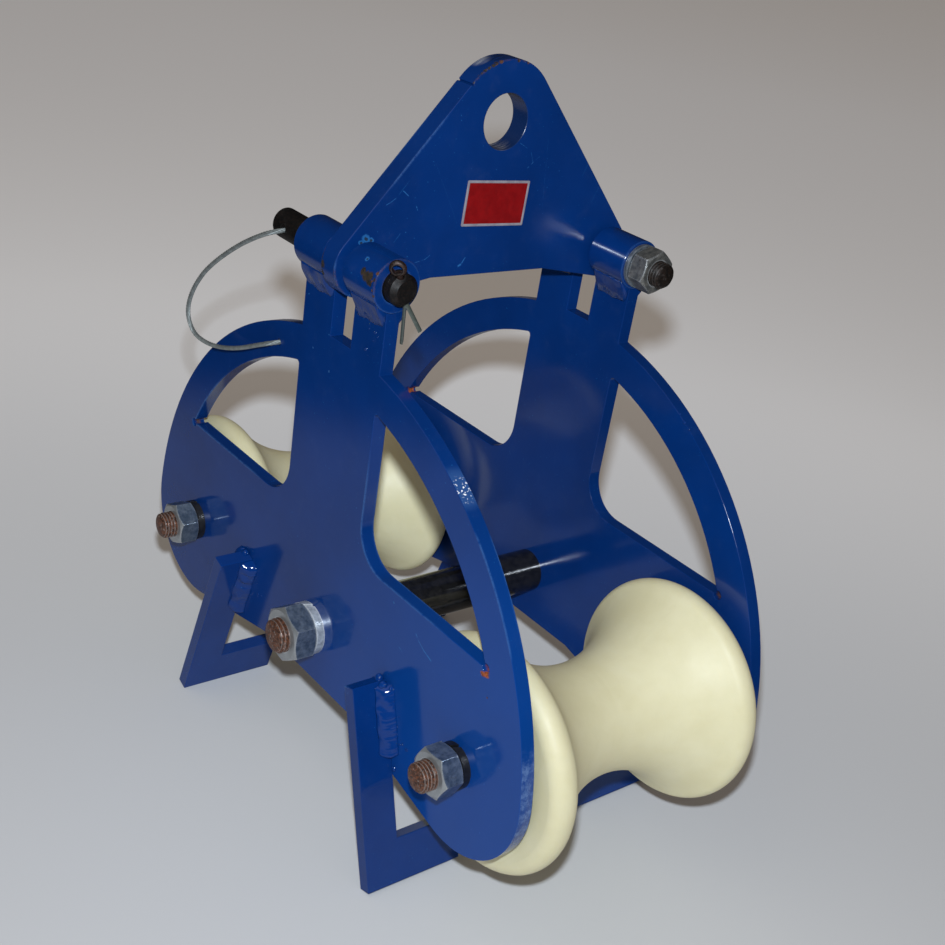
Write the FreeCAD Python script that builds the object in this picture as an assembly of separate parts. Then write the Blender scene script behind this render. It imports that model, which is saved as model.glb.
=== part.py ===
import FreeCAD, Part
import math
import os

# Corner cable roller: two hourglass rollers between a pair of half-disc side plates, hung from a
# triangular lifting plate. The plate turns on a bolt at the far side and is locked by a hinge pin
# at the near side, so the cable can be laid in from that side.
# Frame: origin at the centre of the lifting eye, +X along the side plates, +Y towards the far
# plate, +Z up. All sizes in millimetres. The eye sits a little nearer the near plate, so sub-parts
# are drawn about the middle of the frame and moved to the eye as they are saved.

V = FreeCAD.Vector
X_AXIS = V(1, 0, 0)
Y_AXIS = V(0, 1, 0)
Z_AXIS = V(0, 0, 1)
ORIGIN = V(0, 0, 0)
NEAR = -1
FAR = 1
LEFT = -1
RIGHT = 1
same_place = 0.01

# Overall layout
axle_spacing = 275.0
eye_above_axles = 280.4
eye_off_middle = 4.0
floor_below_axles = 102.5
roller_to_plate = 4.5
plate_thickness = 8.0

# Outline of a side plate
lobe_radius = 49.4
plate_arc_drop = 17.7
rim_width = 22.0
window_arc_rise = 2.7
neck_width = 72.0
slot_width = 18.5
slot_floor_above_axles = 170.5
window_floor_above_axles = 63.5
window_root_radius = 22.0
window_corner_radius = 2.0
window_gouge_diameter = 5.0
belly_below_axles = 30.5
belly_width = 90.0

# Tubes for the hinge pin and the hanger bolt
pipe_diameter = 26.9
pivot_above_axles = 211.5
pivot_play = 0.3

# Hanger
hanger_thickness = 12.0
eye_diameter = 27.6
eye_wall = 16.2
hanger_corner_radius = 16.0
hanger_arch_width = 76.0
hanger_arch_below_eye = 77.7
crown_notch_angle = 144.0
crown_notch_depth = 1.4

# Hinge pin, its split pin and its lanyard
hinge_pin_diameter = 16.0
hinge_pin_tail = 31.5
hinge_pin_nose = 8.0
hinge_pin_nose_chamfer = 2.5
hinge_pin_tail_chamfer = 1.5
wire_hole_diameter = 5.0
wire_hole_from_end = 11.5
split_pin_diameter = 3.2
split_pin_play = 0.7
split_pin_stand_off = 4.7
split_pin_lean = 22.0
split_pin_turn = 45.0
split_pin_eye_radius = 4.3
split_pin_long_leg = 22.0
split_pin_short_leg = 15.5
split_pin_bend_radius = 4.0
split_pin_long_angle = 15.5
split_pin_short_angle = 13.0
lanyard_diameter = 2.0
lanyard_hole_diameter = 4.0
lanyard_hole_x = -57.5
lanyard_hole_above_axles = 149.0
lanyard_hole_run = 4.5
lanyard_offset = 0.8
ferrule_play = 0.5
bend_share = 0.45
ferrule_diameter = 6.5
ferrule_length = 6.0

# Rollers and their bearings
roller_diameter = 127.0
roller_waist = 63.0
roller_length = 145.0
roller_rim_radius = 8.0
roller_bore = 31.0
bearing_bore = 17.0
bearing_diameter = 40.0
bearing_width = 12.0
bearing_recess = 2.0
bearing_race_wall = 3.5
bearing_shield_play = 0.4
bearing_shield_thickness = 0.8
ball_diameter = 6.75
ball_count = 8
ball_play = 0.04
cage_wall = 1.2
cage_width = 8.0
cage_play = 0.15
sleeve_diameter = 23.0
sleeve_play = 0.1
shank_play = 0.02

# Threaded fasteners: thread, across flats, nut height, turn of the nut, head height, spring
# washer section
thread_play = 0.05
plate_hole_play = 0.25
axle_thread = 16.0
axle_flats = 24.0
axle_nut_height = 12.6
left_nut_turn = 38.0
right_nut_turn = -2.0
axle_head_height = 10.0
axle_washer_section = 4.1
centre_thread = 20.0
centre_flats = 30.0
centre_nut_height = 14.0
centre_nut_turn = 27.0
centre_head_height = 12.5
centre_washer_section = 5.0
centre_tube_wall = 2.65
hanger_thread = 14.0
hanger_flats = 21.0
hanger_nut_height = 11.5
hanger_nut_turn = 20.0
hanger_head_height = 8.8
hanger_washer_diameter = 24.0
hanger_washer_thickness = 2.5
hanger_bolt_tail = 7.0
stud_reach = 25.5
thread_inside_plate = 3.0
washer_play = 0.25
washer_slit = 1.6
washer_slit_lean = 25.0
thread_chamfer = 1.5
head_chamfer = 30.0
head_face_share = 0.95

# Feet
foot_thickness = 8.0
foot_width = 21.0
foot_top_above_axles = 10.0
foot_bar_height = 26.0
foot_length = 61.5
foot_lean = 18.3
foot_centre_x = 73.5

# Heights in the frame of the lifting eye
axle_z = -eye_above_axles
pivot_z = axle_z + pivot_above_axles
slot_floor_z = axle_z + slot_floor_above_axles
window_floor_z = axle_z + window_floor_above_axles
belly_z = axle_z - belly_below_axles
arc_z = axle_z - plate_arc_drop
window_arc_z = arc_z + window_arc_rise
lanyard_hole_z = axle_z + lanyard_hole_above_axles

# Distances across the frame
inner_face = roller_length / 2 + roller_to_plate
outer_face = inner_face + plate_thickness
plate_middle = inner_face + plate_thickness / 2
axle_x = axle_spacing / 2
plate_arc_radius = math.hypot(axle_x, plate_arc_drop) + lobe_radius
window_arc_radius = plate_arc_radius - rim_width
neck_half = neck_width / 2
slot_half = slot_width / 2
pipe_radius = pipe_diameter / 2
axle_diameter = bearing_bore - 2 * shank_play
hinge_bore = hinge_pin_diameter + 2 * pivot_play
hanger_bolt_bore = hanger_thread + 2 * pivot_play
hanger_nut_x = neck_half + hanger_washer_thickness
crown_radius = eye_diameter / 2 + eye_wall
split_pin_x = neck_half + split_pin_stand_off
wire_hole_x = wire_hole_from_end - neck_half - hinge_pin_tail
stud_end = outer_face + stud_reach

# Circles of a bearing
pitch_radius = (bearing_bore + bearing_diameter) / 4
inner_ring_radius = bearing_bore / 2 + bearing_race_wall
shoulder_radius = bearing_diameter / 2 - bearing_race_wall
sleeve_bore = axle_diameter + 2 * sleeve_play


def save(name, shape):
    """Write one sub-part, moved to the eye; say how many solids and how much volume it holds."""
    placed = shape.copy()
    placed.translate(Y_AXIS * eye_off_middle)
    placed.exportStep("parts/" + name + ".step")
    print(name, "solids", len(shape.Solids), "volume", round(shape.Volume))


def group(shapes):
    """Keep several separate solids in one sub-part."""
    return Part.Compound(shapes)


def line(start, end):
    """Straight edge."""
    return Part.makeLine(start, end)


def rod(radius, start, end):
    """Round bar between two points."""
    along = end.sub(start)
    return Part.makeCylinder(radius, along.Length, start, along)


def ring(outer_radius, inner_radius, start, end):
    """Tube between two points."""
    return rod(outer_radius, start, end).cut(rod(inner_radius, start, end))


def drawn(x, z):
    """Point of a drawing in the XZ plane."""
    return V(x, 0, z)


def on_arc(centre, radius, angle):
    """Point on a circle of a drawing, at an angle from +X towards +Z."""
    return centre + V(radius * math.cos(angle), 0, radius * math.sin(angle))


def arc_between(centre, radius, start_angle, end_angle):
    """Arc of a drawing between two angles."""
    middle = (start_angle + end_angle) / 2
    ends = [on_arc(centre, radius, angle) for angle in (start_angle, middle, end_angle)]
    return Part.Arc(*ends).toShape()


def filled(edges):
    """Flat face inside a closed loop of edges given in any order."""
    return Part.Face(Part.Wire(Part.__sortEdges__(edges)))


def polygon(corners):
    """Flat face with straight sides."""
    return Part.Face(Part.makePolygon(corners + [corners[0]]))


def spun(face):
    """Turned part: a drawing revolved about the X axis."""
    return face.revolve(ORIGIN, X_AXIS, 360)


def mirrored_x(shape):
    """Twin at the other end of the side plates."""
    return shape.mirror(ORIGIN, X_AXIS)


def mirrored_y(shape):
    """Twin on the other side plate."""
    return shape.mirror(ORIGIN, Y_AXIS)


def across_at(shape, x):
    """Put a part that is drawn along X across the plates at an axle's height, +X end far."""
    shape.rotate(ORIGIN, Z_AXIS, 90)
    shape.translate(V(x, 0, axle_z))
    return shape


def on_pivot(side, x):
    """Point on the axis of the tubes of the near or far plate."""
    return V(x, side * plate_middle, pivot_z)


def tangent_below(point, centre, radius):
    """Where the lower tangent from a point of a drawing meets a circle, and its angle there."""
    away = centre.sub(point)
    slope = math.atan2(away.z, away.x) - math.asin(radius / away.Length)
    run = math.sqrt(away.Length ** 2 - radius ** 2)
    return on_arc(point, run, slope), slope - math.pi / 2


# Side plates

def plate_outline():
    """Neck with two prongs, round back, a lobe round each axle and a shallow belly."""
    arc_centre = drawn(0, arc_z)
    lobe_centre = drawn(axle_x, axle_z)
    prong_top = pivot_z - math.sqrt(pipe_radius ** 2 - (plate_thickness / 2) ** 2)
    shoulder_angle = math.acos(neck_half / plate_arc_radius)
    shoulder = on_arc(arc_centre, plate_arc_radius, shoulder_angle)
    lobe_angle = math.atan2(plate_arc_drop, axle_x)
    belly_end = drawn(belly_width / 2, belly_z)
    lobe_foot, lobe_foot_angle = tangent_below(belly_end, lobe_centre, lobe_radius)
    half = [
        line(drawn(slot_half, slot_floor_z), drawn(slot_half, prong_top)),
        line(drawn(slot_half, prong_top), drawn(neck_half, prong_top)),
        line(drawn(neck_half, prong_top), shoulder),
        arc_between(arc_centre, plate_arc_radius, shoulder_angle, lobe_angle),
        arc_between(lobe_centre, lobe_radius, lobe_angle, lobe_foot_angle),
        line(lobe_foot, belly_end),
    ]
    slot_floor = line(drawn(-slot_half, slot_floor_z), drawn(slot_half, slot_floor_z))
    belly = line(drawn(-belly_width / 2, belly_z), belly_end)
    return filled(half + [mirrored_x(edge) for edge in half] + [slot_floor, belly])


def runs_across_at(edge, point):
    """Whether an edge runs straight across the plate from a point of its drawing."""
    ends = [vertex.Point for vertex in edge.Vertexes]
    return all(math.hypot(end.x - point.x, end.z - point.z) < same_place for end in ends)


def window():
    """Opening between the neck, the rim and the belly: a round root, and a burnt gouge at its tip."""
    arc_centre = drawn(0, window_arc_z)
    top_angle = math.acos(neck_half / window_arc_radius)
    tip_angle = math.asin((window_floor_z - window_arc_z) / window_arc_radius)
    top = on_arc(arc_centre, window_arc_radius, top_angle)
    tip = on_arc(arc_centre, window_arc_radius, tip_angle)
    root_centre = drawn(neck_half + window_root_radius, window_floor_z + window_root_radius)
    outline = filled([
        line(top, root_centre - X_AXIS * window_root_radius),
        arc_between(root_centre, window_root_radius, math.pi, 1.5 * math.pi),
        line(root_centre - Z_AXIS * window_root_radius, tip),
        arc_between(arc_centre, window_arc_radius, tip_angle, top_angle),
    ])
    opening = outline.extrude(Y_AXIS * plate_thickness)
    corner = [edge for edge in opening.Edges if runs_across_at(edge, top)]
    opening = opening.makeFillet(window_corner_radius, corner)
    return opening.fuse(rod(window_gouge_diameter / 2, tip, tip + Y_AXIS * plate_thickness))


def drilled_across(shape, x, z, diameter):
    """Drill a shape on the far side along Y."""
    hole = rod(diameter / 2, V(x, inner_face, z), V(x, outer_face, z))
    return shape.cut(hole)


def side_plate():
    """Plate of the far side, with its windows and bolt holes, coped under the tubes."""
    plate = plate_outline().extrude(Y_AXIS * plate_thickness)
    plate = plate.cut([window(), mirrored_x(window())])
    plate.translate(Y_AXIS * inner_face)
    for x in (-axle_x, axle_x):
        plate = drilled_across(plate, x, axle_z, axle_diameter + 2 * plate_hole_play)
    plate = drilled_across(plate, 0, axle_z, centre_thread + 2 * plate_hole_play)
    return plate.cut(rod(pipe_radius, on_pivot(FAR, -neck_half), on_pivot(FAR, neck_half)))


def near_side_plate():
    """The same plate on the near side, with a hole more for the lanyard."""
    plate = drilled_across(side_plate(), lanyard_hole_x, lanyard_hole_z, lanyard_hole_diameter)
    return mirrored_y(plate)


def pivot_tube(side, bore):
    """Tube welded on the +X prong of the near or far plate."""
    return ring(pipe_radius, bore / 2, on_pivot(side, slot_half), on_pivot(side, neck_half))


def foot():
    """L-shaped foot of the near +X corner: it leans outwards and stands on its lower edge."""
    lean = math.radians(foot_lean)
    drop = floor_below_axles - foot_thickness / 2 * math.sin(lean)
    top = foot_top_above_axles / math.cos(lean)
    bottom = -drop / math.cos(lean)
    outer = -outer_face - foot_width
    corners = [
        V(0, -outer_face, top),
        V(0, -outer_face, bottom + foot_bar_height),
        V(0, outer + foot_length, bottom + foot_bar_height),
        V(0, outer + foot_length, bottom),
        V(0, outer, bottom),
        V(0, outer, top),
    ]
    leg = polygon(corners).extrude(X_AXIS * foot_thickness)
    leg.translate(X_AXIS * -foot_thickness / 2)
    leg.rotate(ORIGIN, Y_AXIS, -foot_lean)
    leg.translate(V(foot_centre_x, 0, axle_z))
    return leg


# Hanger

def hanger_flank(side):
    """Edges of one side of the hanger below its crown, and the crown's angle where they meet."""
    corner = drawn(plate_middle, pivot_z)
    crown_centre = drawn(-side * eye_off_middle, 0)
    away = corner.sub(crown_centre)
    flank_angle = math.atan2(away.z, away.x)
    flank_angle += math.acos((crown_radius - hanger_corner_radius) / away.Length)
    arch_end = drawn(hanger_arch_width / 2, -hanger_arch_below_eye)
    corner_foot, corner_foot_angle = tangent_below(arch_end, corner, hanger_corner_radius)
    flank_top = on_arc(crown_centre, crown_radius, flank_angle)
    flank_foot = on_arc(corner, hanger_corner_radius, flank_angle)
    edges = [
        line(flank_top, flank_foot),
        arc_between(corner, hanger_corner_radius, flank_angle, corner_foot_angle),
        line(corner_foot, arch_end),
    ]
    if side == NEAR:
        edges = [mirrored_x(edge) for edge in edges]
        flank_angle = math.pi - flank_angle
    return edges, flank_angle


def hanger_outline():
    """Round crown about the eye, straight flanks, round lower corners and a shallow arch."""
    far_edges, far_angle = hanger_flank(FAR)
    near_edges, near_angle = hanger_flank(NEAR)
    crown = arc_between(drawn(-eye_off_middle, 0), crown_radius, far_angle, near_angle)
    arch_end = drawn(hanger_arch_width / 2, -hanger_arch_below_eye)
    arch = line(drawn(-arch_end.x, arch_end.z), arch_end)
    return filled(far_edges + near_edges + [crown, arch])


def crown_notch():
    """Small sharp notch that the cutting torch left where the crown meets the near flank."""
    angle = math.radians(crown_notch_angle)
    half_turn = math.atan(crown_notch_depth / crown_radius)
    top = crown_radius + crown_notch_depth
    centre = drawn(-eye_off_middle, 0)
    notch = polygon([
        on_arc(centre, crown_radius - crown_notch_depth, angle),
        on_arc(centre, top, angle - half_turn / 2),
        on_arc(centre, top, angle + half_turn),
    ])
    return notch.extrude(Y_AXIS * hanger_thickness)


def hanger_plate():
    """Plate with the lifting eye at the top and a hole over each side plate."""
    plate = hanger_outline().extrude(Y_AXIS * hanger_thickness).cut(crown_notch())
    plate.translate(Y_AXIS * -hanger_thickness / 2)
    plate.rotate(ORIGIN, Z_AXIS, 90)
    half_through = X_AXIS * (hanger_thickness / 2)
    eye_centre = Y_AXIS * -eye_off_middle
    plate = plate.cut(rod(eye_diameter / 2, eye_centre - half_through, eye_centre + half_through))
    for side, bore in ((NEAR, hinge_bore), (FAR, hanger_bolt_bore)):
        hole = rod(bore / 2, on_pivot(side, -half_through.x), on_pivot(side, half_through.x))
        plate = plate.cut(hole)
    return plate


# Hinge pin, split pin and lanyard

def chamfered_rod(radius, start_x, end_x, start_chamfer, end_chamfer):
    """Round bar along X with a chamfer at each end."""
    return spun(polygon([
        drawn(start_x, 0),
        drawn(start_x, radius - start_chamfer),
        drawn(start_x + start_chamfer, radius),
        drawn(end_x - end_chamfer, radius),
        drawn(end_x, radius - end_chamfer),
        drawn(end_x, 0),
    ]))


def split_pin_place(shape):
    """Set a split pin's drawing, whose shank runs down -Z, into the hinge pin."""
    shape.rotate(ORIGIN, Z_AXIS, -split_pin_turn)
    shape.rotate(ORIGIN, X_AXIS, split_pin_lean)
    shape.translate(on_pivot(NEAR, split_pin_x))
    return shape


def hinge_pin():
    """Plain pin through both near tubes and the hanger, cross-drilled at each end."""
    radius = hinge_pin_diameter / 2
    start_x = -neck_half - hinge_pin_tail
    end_x = neck_half + hinge_pin_nose
    pin = chamfered_rod(radius, start_x, end_x, hinge_pin_tail_chamfer, hinge_pin_nose_chamfer)
    pin.translate(on_pivot(NEAR, 0))
    split_hole_radius = split_pin_diameter / 2 + split_pin_play
    split_hole = split_pin_place(rod(split_hole_radius, Z_AXIS * -radius, Z_AXIS * radius))
    wire_hole_start = on_pivot(NEAR, wire_hole_x) - Y_AXIS * radius
    wire_hole_end = on_pivot(NEAR, wire_hole_x) + Y_AXIS * radius
    return pin.cut([split_hole, rod(wire_hole_diameter / 2, wire_hole_start, wire_hole_end)])


def half_round(side, z):
    """Section of one wire of the split pin, flat towards the other wire."""
    radius = split_pin_diameter / 2
    ends = [V(-radius, 0, z), V(0, side * radius, z), V(radius, 0, z)]
    return filled([Part.Arc(*ends).toShape(), line(ends[0], ends[2])])


def split_pin_leg(side, bend, length):
    """One wire below the hinge pin: bent away from its twin and then straight."""
    exit_z = -hinge_pin_diameter / 2
    hub = V(0, side * split_pin_bend_radius, exit_z)
    section = half_round(side, exit_z)
    knee = section.revolve(hub, X_AXIS, side * bend)
    section.rotate(hub, X_AXIS, side * bend)
    turn = math.radians(bend)
    straight = length - split_pin_bend_radius * turn
    down = V(0, side * math.sin(turn), -math.cos(turn))
    return knee.fuse(section.extrude(down * straight))


def split_pin():
    """Eye, shank of two half-round wires and two legs of unequal length."""
    wire = split_pin_diameter / 2
    shank_top = hinge_pin_diameter / 2
    hole_radius = wire + split_pin_play
    eye_z = shank_top + math.sqrt(split_pin_eye_radius ** 2 - hole_radius ** 2)
    profile = half_round(FAR, 0)
    profile.translate(Y_AXIS * (split_pin_eye_radius - wire))
    eye = profile.revolve(ORIGIN, X_AXIS, 360)
    eye.translate(Z_AXIS * eye_z)
    shank = rod(wire, Z_AXIS * -shank_top, Z_AXIS * (shank_top + wire))
    long_leg = split_pin_leg(NEAR, split_pin_long_angle, split_pin_long_leg)
    short_leg = split_pin_leg(FAR, split_pin_short_angle, split_pin_short_leg)
    return split_pin_place(shank.fuse([eye, long_leg, short_leg]))


def off_wire_hole(along, off, down):
    """Point beyond the wire hole along the pin, off the near plate's face and below the pin."""
    return V(wire_hole_x + lanyard_offset - along, -outer_face - off, pivot_z - down)


def lanyard_route():
    """Points of the wire from the hinge pin's hole, round its loop, to the plate's hole."""
    pin_back = hinge_pin_diameter / 2 - plate_middle + ferrule_play
    return [
        V(wire_hole_x + lanyard_offset, pin_back, pivot_z),
        off_wire_hole(0.0, 8.0, 0.0),
        off_wire_hole(19.0, 12.0, 10.5),
        off_wire_hole(36.5, 12.5, 21.5),
        off_wire_hole(53.0, 13.0, 33.5),
        off_wire_hole(65.5, 13.5, 44.5),
        off_wire_hole(77.5, 13.5, 59.5),
        off_wire_hole(82.5, 13.0, 73.5),
        off_wire_hole(75.5, 12.0, 83.5),
        off_wire_hole(61.0, 10.5, 84.5),
        off_wire_hole(46.0, 9.0, 81.5),
        off_wire_hole(30.5, 7.5, 76.0),
        off_wire_hole(15.0, 6.5, 68.5),
        V(lanyard_hole_x, -outer_face - lanyard_hole_run, lanyard_hole_z),
        V(lanyard_hole_x, -inner_face, lanyard_hole_z),
    ]


def rounded_path(points):
    """Wire of straight runs joined by tangent arcs; prints the arc radii."""
    edges = []
    radii = []
    start = points[0]
    for before, point, after in zip(points, points[1:], points[2:]):
        back = before.sub(point)
        ahead = after.sub(point)
        setback = bend_share * min(back.Length, ahead.Length)
        half_turn = (math.pi - back.getAngle(ahead)) / 2
        radius = setback / math.tan(half_turn)
        enter = point + back.normalize() * setback
        leave = point + ahead.normalize() * setback
        inward = (enter + leave) * 0.5 - point
        to_centre = radius / math.cos(half_turn)
        middle = point + inward.normalize() * (to_centre - radius)
        edges.append(line(start, enter))
        edges.append(Part.Arc(enter, middle, leave).toShape())
        radii.append(round(radius, 1))
        start = leave
    edges.append(line(start, points[-1]))
    print("lanyard arc radii", radii)
    return Part.Wire(edges)


def lanyard_wire():
    """Round wire swept along its route."""
    path = rounded_path(lanyard_route())
    first_run = path.Edges[0]
    start = first_run.Vertexes[0].Point
    section = Part.makeCircle(lanyard_diameter / 2, start, first_run.tangentAt(0))
    wire = path.makePipeShell([Part.Wire(section)], True, False)
    print("lanyard length", round(path.Length, 1))
    print("lanyard volume", round(wire.Volume), "expected", round(section_area() * path.Length))
    return wire


def section_area():
    """Area of the lanyard's section."""
    return math.pi * lanyard_diameter ** 2 / 4


def lanyard_ferrules():
    """Crimped sleeve at each end of the wire, behind the hinge pin and behind the plate."""
    route = lanyard_route()
    radii = (ferrule_diameter / 2, lanyard_diameter / 2)
    along = Y_AXIS * ferrule_length
    return group([rod(radii[0], end, end + along) for end in (route[0], route[-1])])


# Rollers

def roller():
    """Hourglass roller: round rims run tangent into one deep groove; a bearing seat each end."""
    half_length = roller_length / 2
    rim_top = roller_diameter / 2
    waist = roller_waist / 2
    rim_x = half_length - roller_rim_radius
    rim_z = rim_top - roller_rim_radius
    lift = waist - rim_z
    spread = rim_x ** 2 + lift ** 2 - roller_rim_radius ** 2
    groove_radius = spread / (2 * (roller_rim_radius - lift))
    groove_centre = drawn(0, waist + groove_radius)
    rim_centre = drawn(rim_x, rim_z)
    rim_angle = math.atan2(groove_centre.z - rim_z, -rim_x)
    groove_angle = rim_angle - math.pi
    seat_radius = bearing_diameter / 2
    seat_x = half_length - bearing_recess - bearing_width
    bore_radius = roller_bore / 2
    half = [
        line(drawn(0, bore_radius), drawn(seat_x, bore_radius)),
        line(drawn(seat_x, bore_radius), drawn(seat_x, seat_radius)),
        line(drawn(seat_x, seat_radius), drawn(half_length, seat_radius)),
        line(drawn(half_length, seat_radius), drawn(half_length, rim_z)),
        arc_between(rim_centre, roller_rim_radius, 0, rim_angle),
        arc_between(groove_centre, groove_radius, groove_angle, -math.pi / 2),
    ]
    return spun(filled(half + [mirrored_x(edge) for edge in half]))


def both_bearings(piece):
    """One piece of a bearing drawn about the origin, at both ends of a roller."""
    bearing_x = (roller_length - bearing_width) / 2 - bearing_recess
    near_piece = piece.copy()
    piece.translate(X_AXIS * bearing_x)
    near_piece.translate(X_AXIS * -bearing_x)
    return group([near_piece, piece])


def ball_groove():
    """Round groove that both rings have for the balls."""
    return Part.makeTorus(pitch_radius, ball_diameter / 2 + ball_play, ORIGIN, X_AXIS)


def outer_ring():
    """Outer ring of a bearing with a shield pressed in at each side."""
    half_width = bearing_width / 2
    shell = ring(bearing_diameter / 2, shoulder_radius, drawn(-half_width, 0), drawn(half_width, 0))
    shell = shell.cut(ball_groove())
    shield_bore = inner_ring_radius + bearing_shield_play
    for side in (LEFT, RIGHT):
        face = drawn(side * half_width, 0)
        back = drawn(side * (half_width - bearing_shield_thickness), 0)
        shell = shell.fuse(ring(shoulder_radius, shield_bore, back, face))
    return shell


def inner_ring():
    """Inner ring of a bearing, which stands still on the axle."""
    half_width = bearing_width / 2
    blank = ring(inner_ring_radius, bearing_bore / 2, drawn(-half_width, 0), drawn(half_width, 0))
    return blank.cut(ball_groove())


def spheres(radius):
    """One ball in each place round the bearing."""
    places = [on_ball_circle(number) for number in range(ball_count)]
    return [Part.makeSphere(radius, place) for place in places]


def on_ball_circle(number):
    """Centre of one ball."""
    angle = 2 * math.pi * number / ball_count
    return V(0, pitch_radius * math.sin(angle), pitch_radius * math.cos(angle))


def ball_cage():
    """Thin ring with a pocket for each ball."""
    ends = (drawn(-cage_width / 2, 0), drawn(cage_width / 2, 0))
    band = ring(pitch_radius + cage_wall / 2, pitch_radius - cage_wall / 2, *ends)
    return band.cut(spheres(ball_diameter / 2 + cage_play))


def distance_tube():
    """Tube between the inner rings of one roller."""
    end = roller_length / 2 - bearing_recess - bearing_width
    return ring(sleeve_diameter / 2, sleeve_bore / 2, drawn(-end, 0), drawn(end, 0))


def sleeves():
    """Short tubes between the inner rings and the side plates of one roller."""
    ring_face = roller_length / 2 - bearing_recess
    ends = (drawn(ring_face, 0), drawn(inner_face, 0))
    far_sleeve = ring(sleeve_diameter / 2, sleeve_bore / 2, *ends)
    return [mirrored_x(far_sleeve), far_sleeve]


# Bolts, nuts and washers

def hexagon(flats, height, x):
    """Six-sided prism along X with both faces chamfered."""
    corner_radius = flats / math.sqrt(3)
    face_radius = head_face_share * flats / 2
    slope = (corner_radius - face_radius) * math.tan(math.radians(head_chamfer))
    corners = [on_arc_across(corner_radius, number * math.pi / 3, x) for number in range(6)]
    prism = polygon(corners).extrude(X_AXIS * height)
    turned = spun(polygon([
        drawn(x, 0),
        drawn(x, face_radius),
        drawn(x + slope, corner_radius),
        drawn(x + height - slope, corner_radius),
        drawn(x + height, face_radius),
        drawn(x + height, 0),
    ]))
    return prism.common(turned)


def on_arc_across(radius, angle, x):
    """Point on a circle about the X axis."""
    return V(x, radius * math.cos(angle), radius * math.sin(angle))


def nut(thread, flats, height, turn, x):
    """Hexagon nut that starts at x, turned about its axis as it was left."""
    bore = rod(thread / 2 + thread_play, drawn(x, 0), drawn(x + height, 0))
    piece = hexagon(flats, height, x).cut(bore)
    piece.rotate(ORIGIN, X_AXIS, turn)
    return piece


def spring_washer(thread, section, x):
    """Split ring that starts at x, pressed flat by its nut."""
    bore_radius = thread / 2 + washer_play
    band = ring(bore_radius + section, bore_radius, drawn(x, 0), drawn(x + section, 0))
    slit = Part.makeBox(thread, washer_slit, thread, V(-thread / 2, -washer_slit / 2, 0))
    slit.rotate(ORIGIN, Z_AXIS, washer_slit_lean)
    slit.translate(X_AXIS * (x + section / 2))
    return band.cut(slit)


def axle():
    """Roller axle: hexagon head outside the far plate, threaded end outside the near one."""
    thread_start = thread_inside_plate - outer_face
    head = hexagon(axle_flats, axle_head_height, outer_face)
    shank = rod(axle_diameter / 2, drawn(thread_start, 0), drawn(outer_face, 0))
    thread = chamfered_rod(axle_thread / 2, -stud_end, thread_start, thread_chamfer, 0)
    return head.fuse([shank, thread])


def centre_bolt():
    """Bolt through the spacer tube between the plates."""
    head = hexagon(centre_flats, centre_head_height, outer_face)
    return head.fuse(chamfered_rod(centre_thread / 2, -stud_end, outer_face, thread_chamfer, 0))


def centre_spacer_tube():
    """Pipe that keeps the plates apart round the centre bolt."""
    bore = pipe_radius - centre_tube_wall
    return ring(pipe_radius, bore, drawn(-inner_face, 0), drawn(inner_face, 0))


def hanger_bolt():
    """Bolt that the hanger turns on, through both far tubes."""
    head = hexagon(hanger_flats, hanger_head_height, -neck_half - hanger_head_height)
    end_x = hanger_nut_x + hanger_nut_height + hanger_bolt_tail
    bolt = head.fuse(chamfered_rod(hanger_thread / 2, -neck_half, end_x, 0, thread_chamfer))
    bolt.translate(on_pivot(FAR, 0))
    return bolt


def hanger_washer():
    """Flat washer of the hanger bolt, outside the right far tube."""
    washer_radius = hanger_washer_diameter / 2
    return ring(washer_radius, hanger_bolt_bore / 2, on_pivot(FAR, neck_half), on_pivot(FAR, hanger_nut_x))


def near_fastening(thread, flats, height, turn, section):
    """Spring washer and nut against the near plate, as seen along X towards -X."""
    washer = spring_washer(thread, section, outer_face)
    return mirrored_x(washer), mirrored_x(nut(thread, flats, height, turn, outer_face + section))


os.makedirs("parts", exist_ok=True)

# Frame
save("near_side_plate", near_side_plate())
save("far_side_plate", side_plate())

for side_name, side, bore in (("near", NEAR, hinge_bore), ("far", FAR, hanger_bolt_bore)):
    right_tube = pivot_tube(side, bore)
    right_foot = foot() if side == NEAR else mirrored_y(foot())
    save(side_name + "_right_tube", right_tube)
    save(side_name + "_left_tube", mirrored_x(right_tube))
    save(side_name + "_right_foot", right_foot)
    save(side_name + "_left_foot", mirrored_x(right_foot))

# Spacer between the plates
centre_washer, centre_nut = near_fastening(
    centre_thread, centre_flats, centre_nut_height, centre_nut_turn, centre_washer_section)
save("centre_spacer_tube", across_at(centre_spacer_tube(), 0))
save("centre_bolt", across_at(centre_bolt(), 0))
save("centre_spring_washer", across_at(centre_washer, 0))
save("centre_nut", across_at(centre_nut, 0))

# Rollers, bearings and axles
roller_washers = []
roller_nuts = []
short_sleeves = []
for side_name, x, turn in (("left", -axle_x, left_nut_turn), ("right", axle_x, right_nut_turn)):
    save(side_name + "_roller", across_at(roller(), x))
    save(side_name + "_bearing_outer_rings", across_at(both_bearings(outer_ring()), x))
    save(side_name + "_bearing_inner_rings", across_at(both_bearings(inner_ring()), x))
    save(side_name + "_bearing_cages", across_at(both_bearings(ball_cage()), x))
    save(side_name + "_bearing_balls", across_at(both_bearings(group(spheres(ball_diameter / 2))), x))
    save(side_name + "_distance_tube", across_at(distance_tube(), x))
    save(side_name + "_roller_axle", across_at(axle(), x))
    washer, nut_piece = near_fastening(
        axle_thread, axle_flats, axle_nut_height, turn, axle_washer_section)
    roller_washers.append(across_at(washer, x))
    roller_nuts.append(across_at(nut_piece, x))
    short_sleeves += [across_at(sleeve, x) for sleeve in sleeves()]
save("roller_sleeves", group(short_sleeves))
save("roller_spring_washers", group(roller_washers))
save("roller_nuts", group(roller_nuts))

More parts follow.
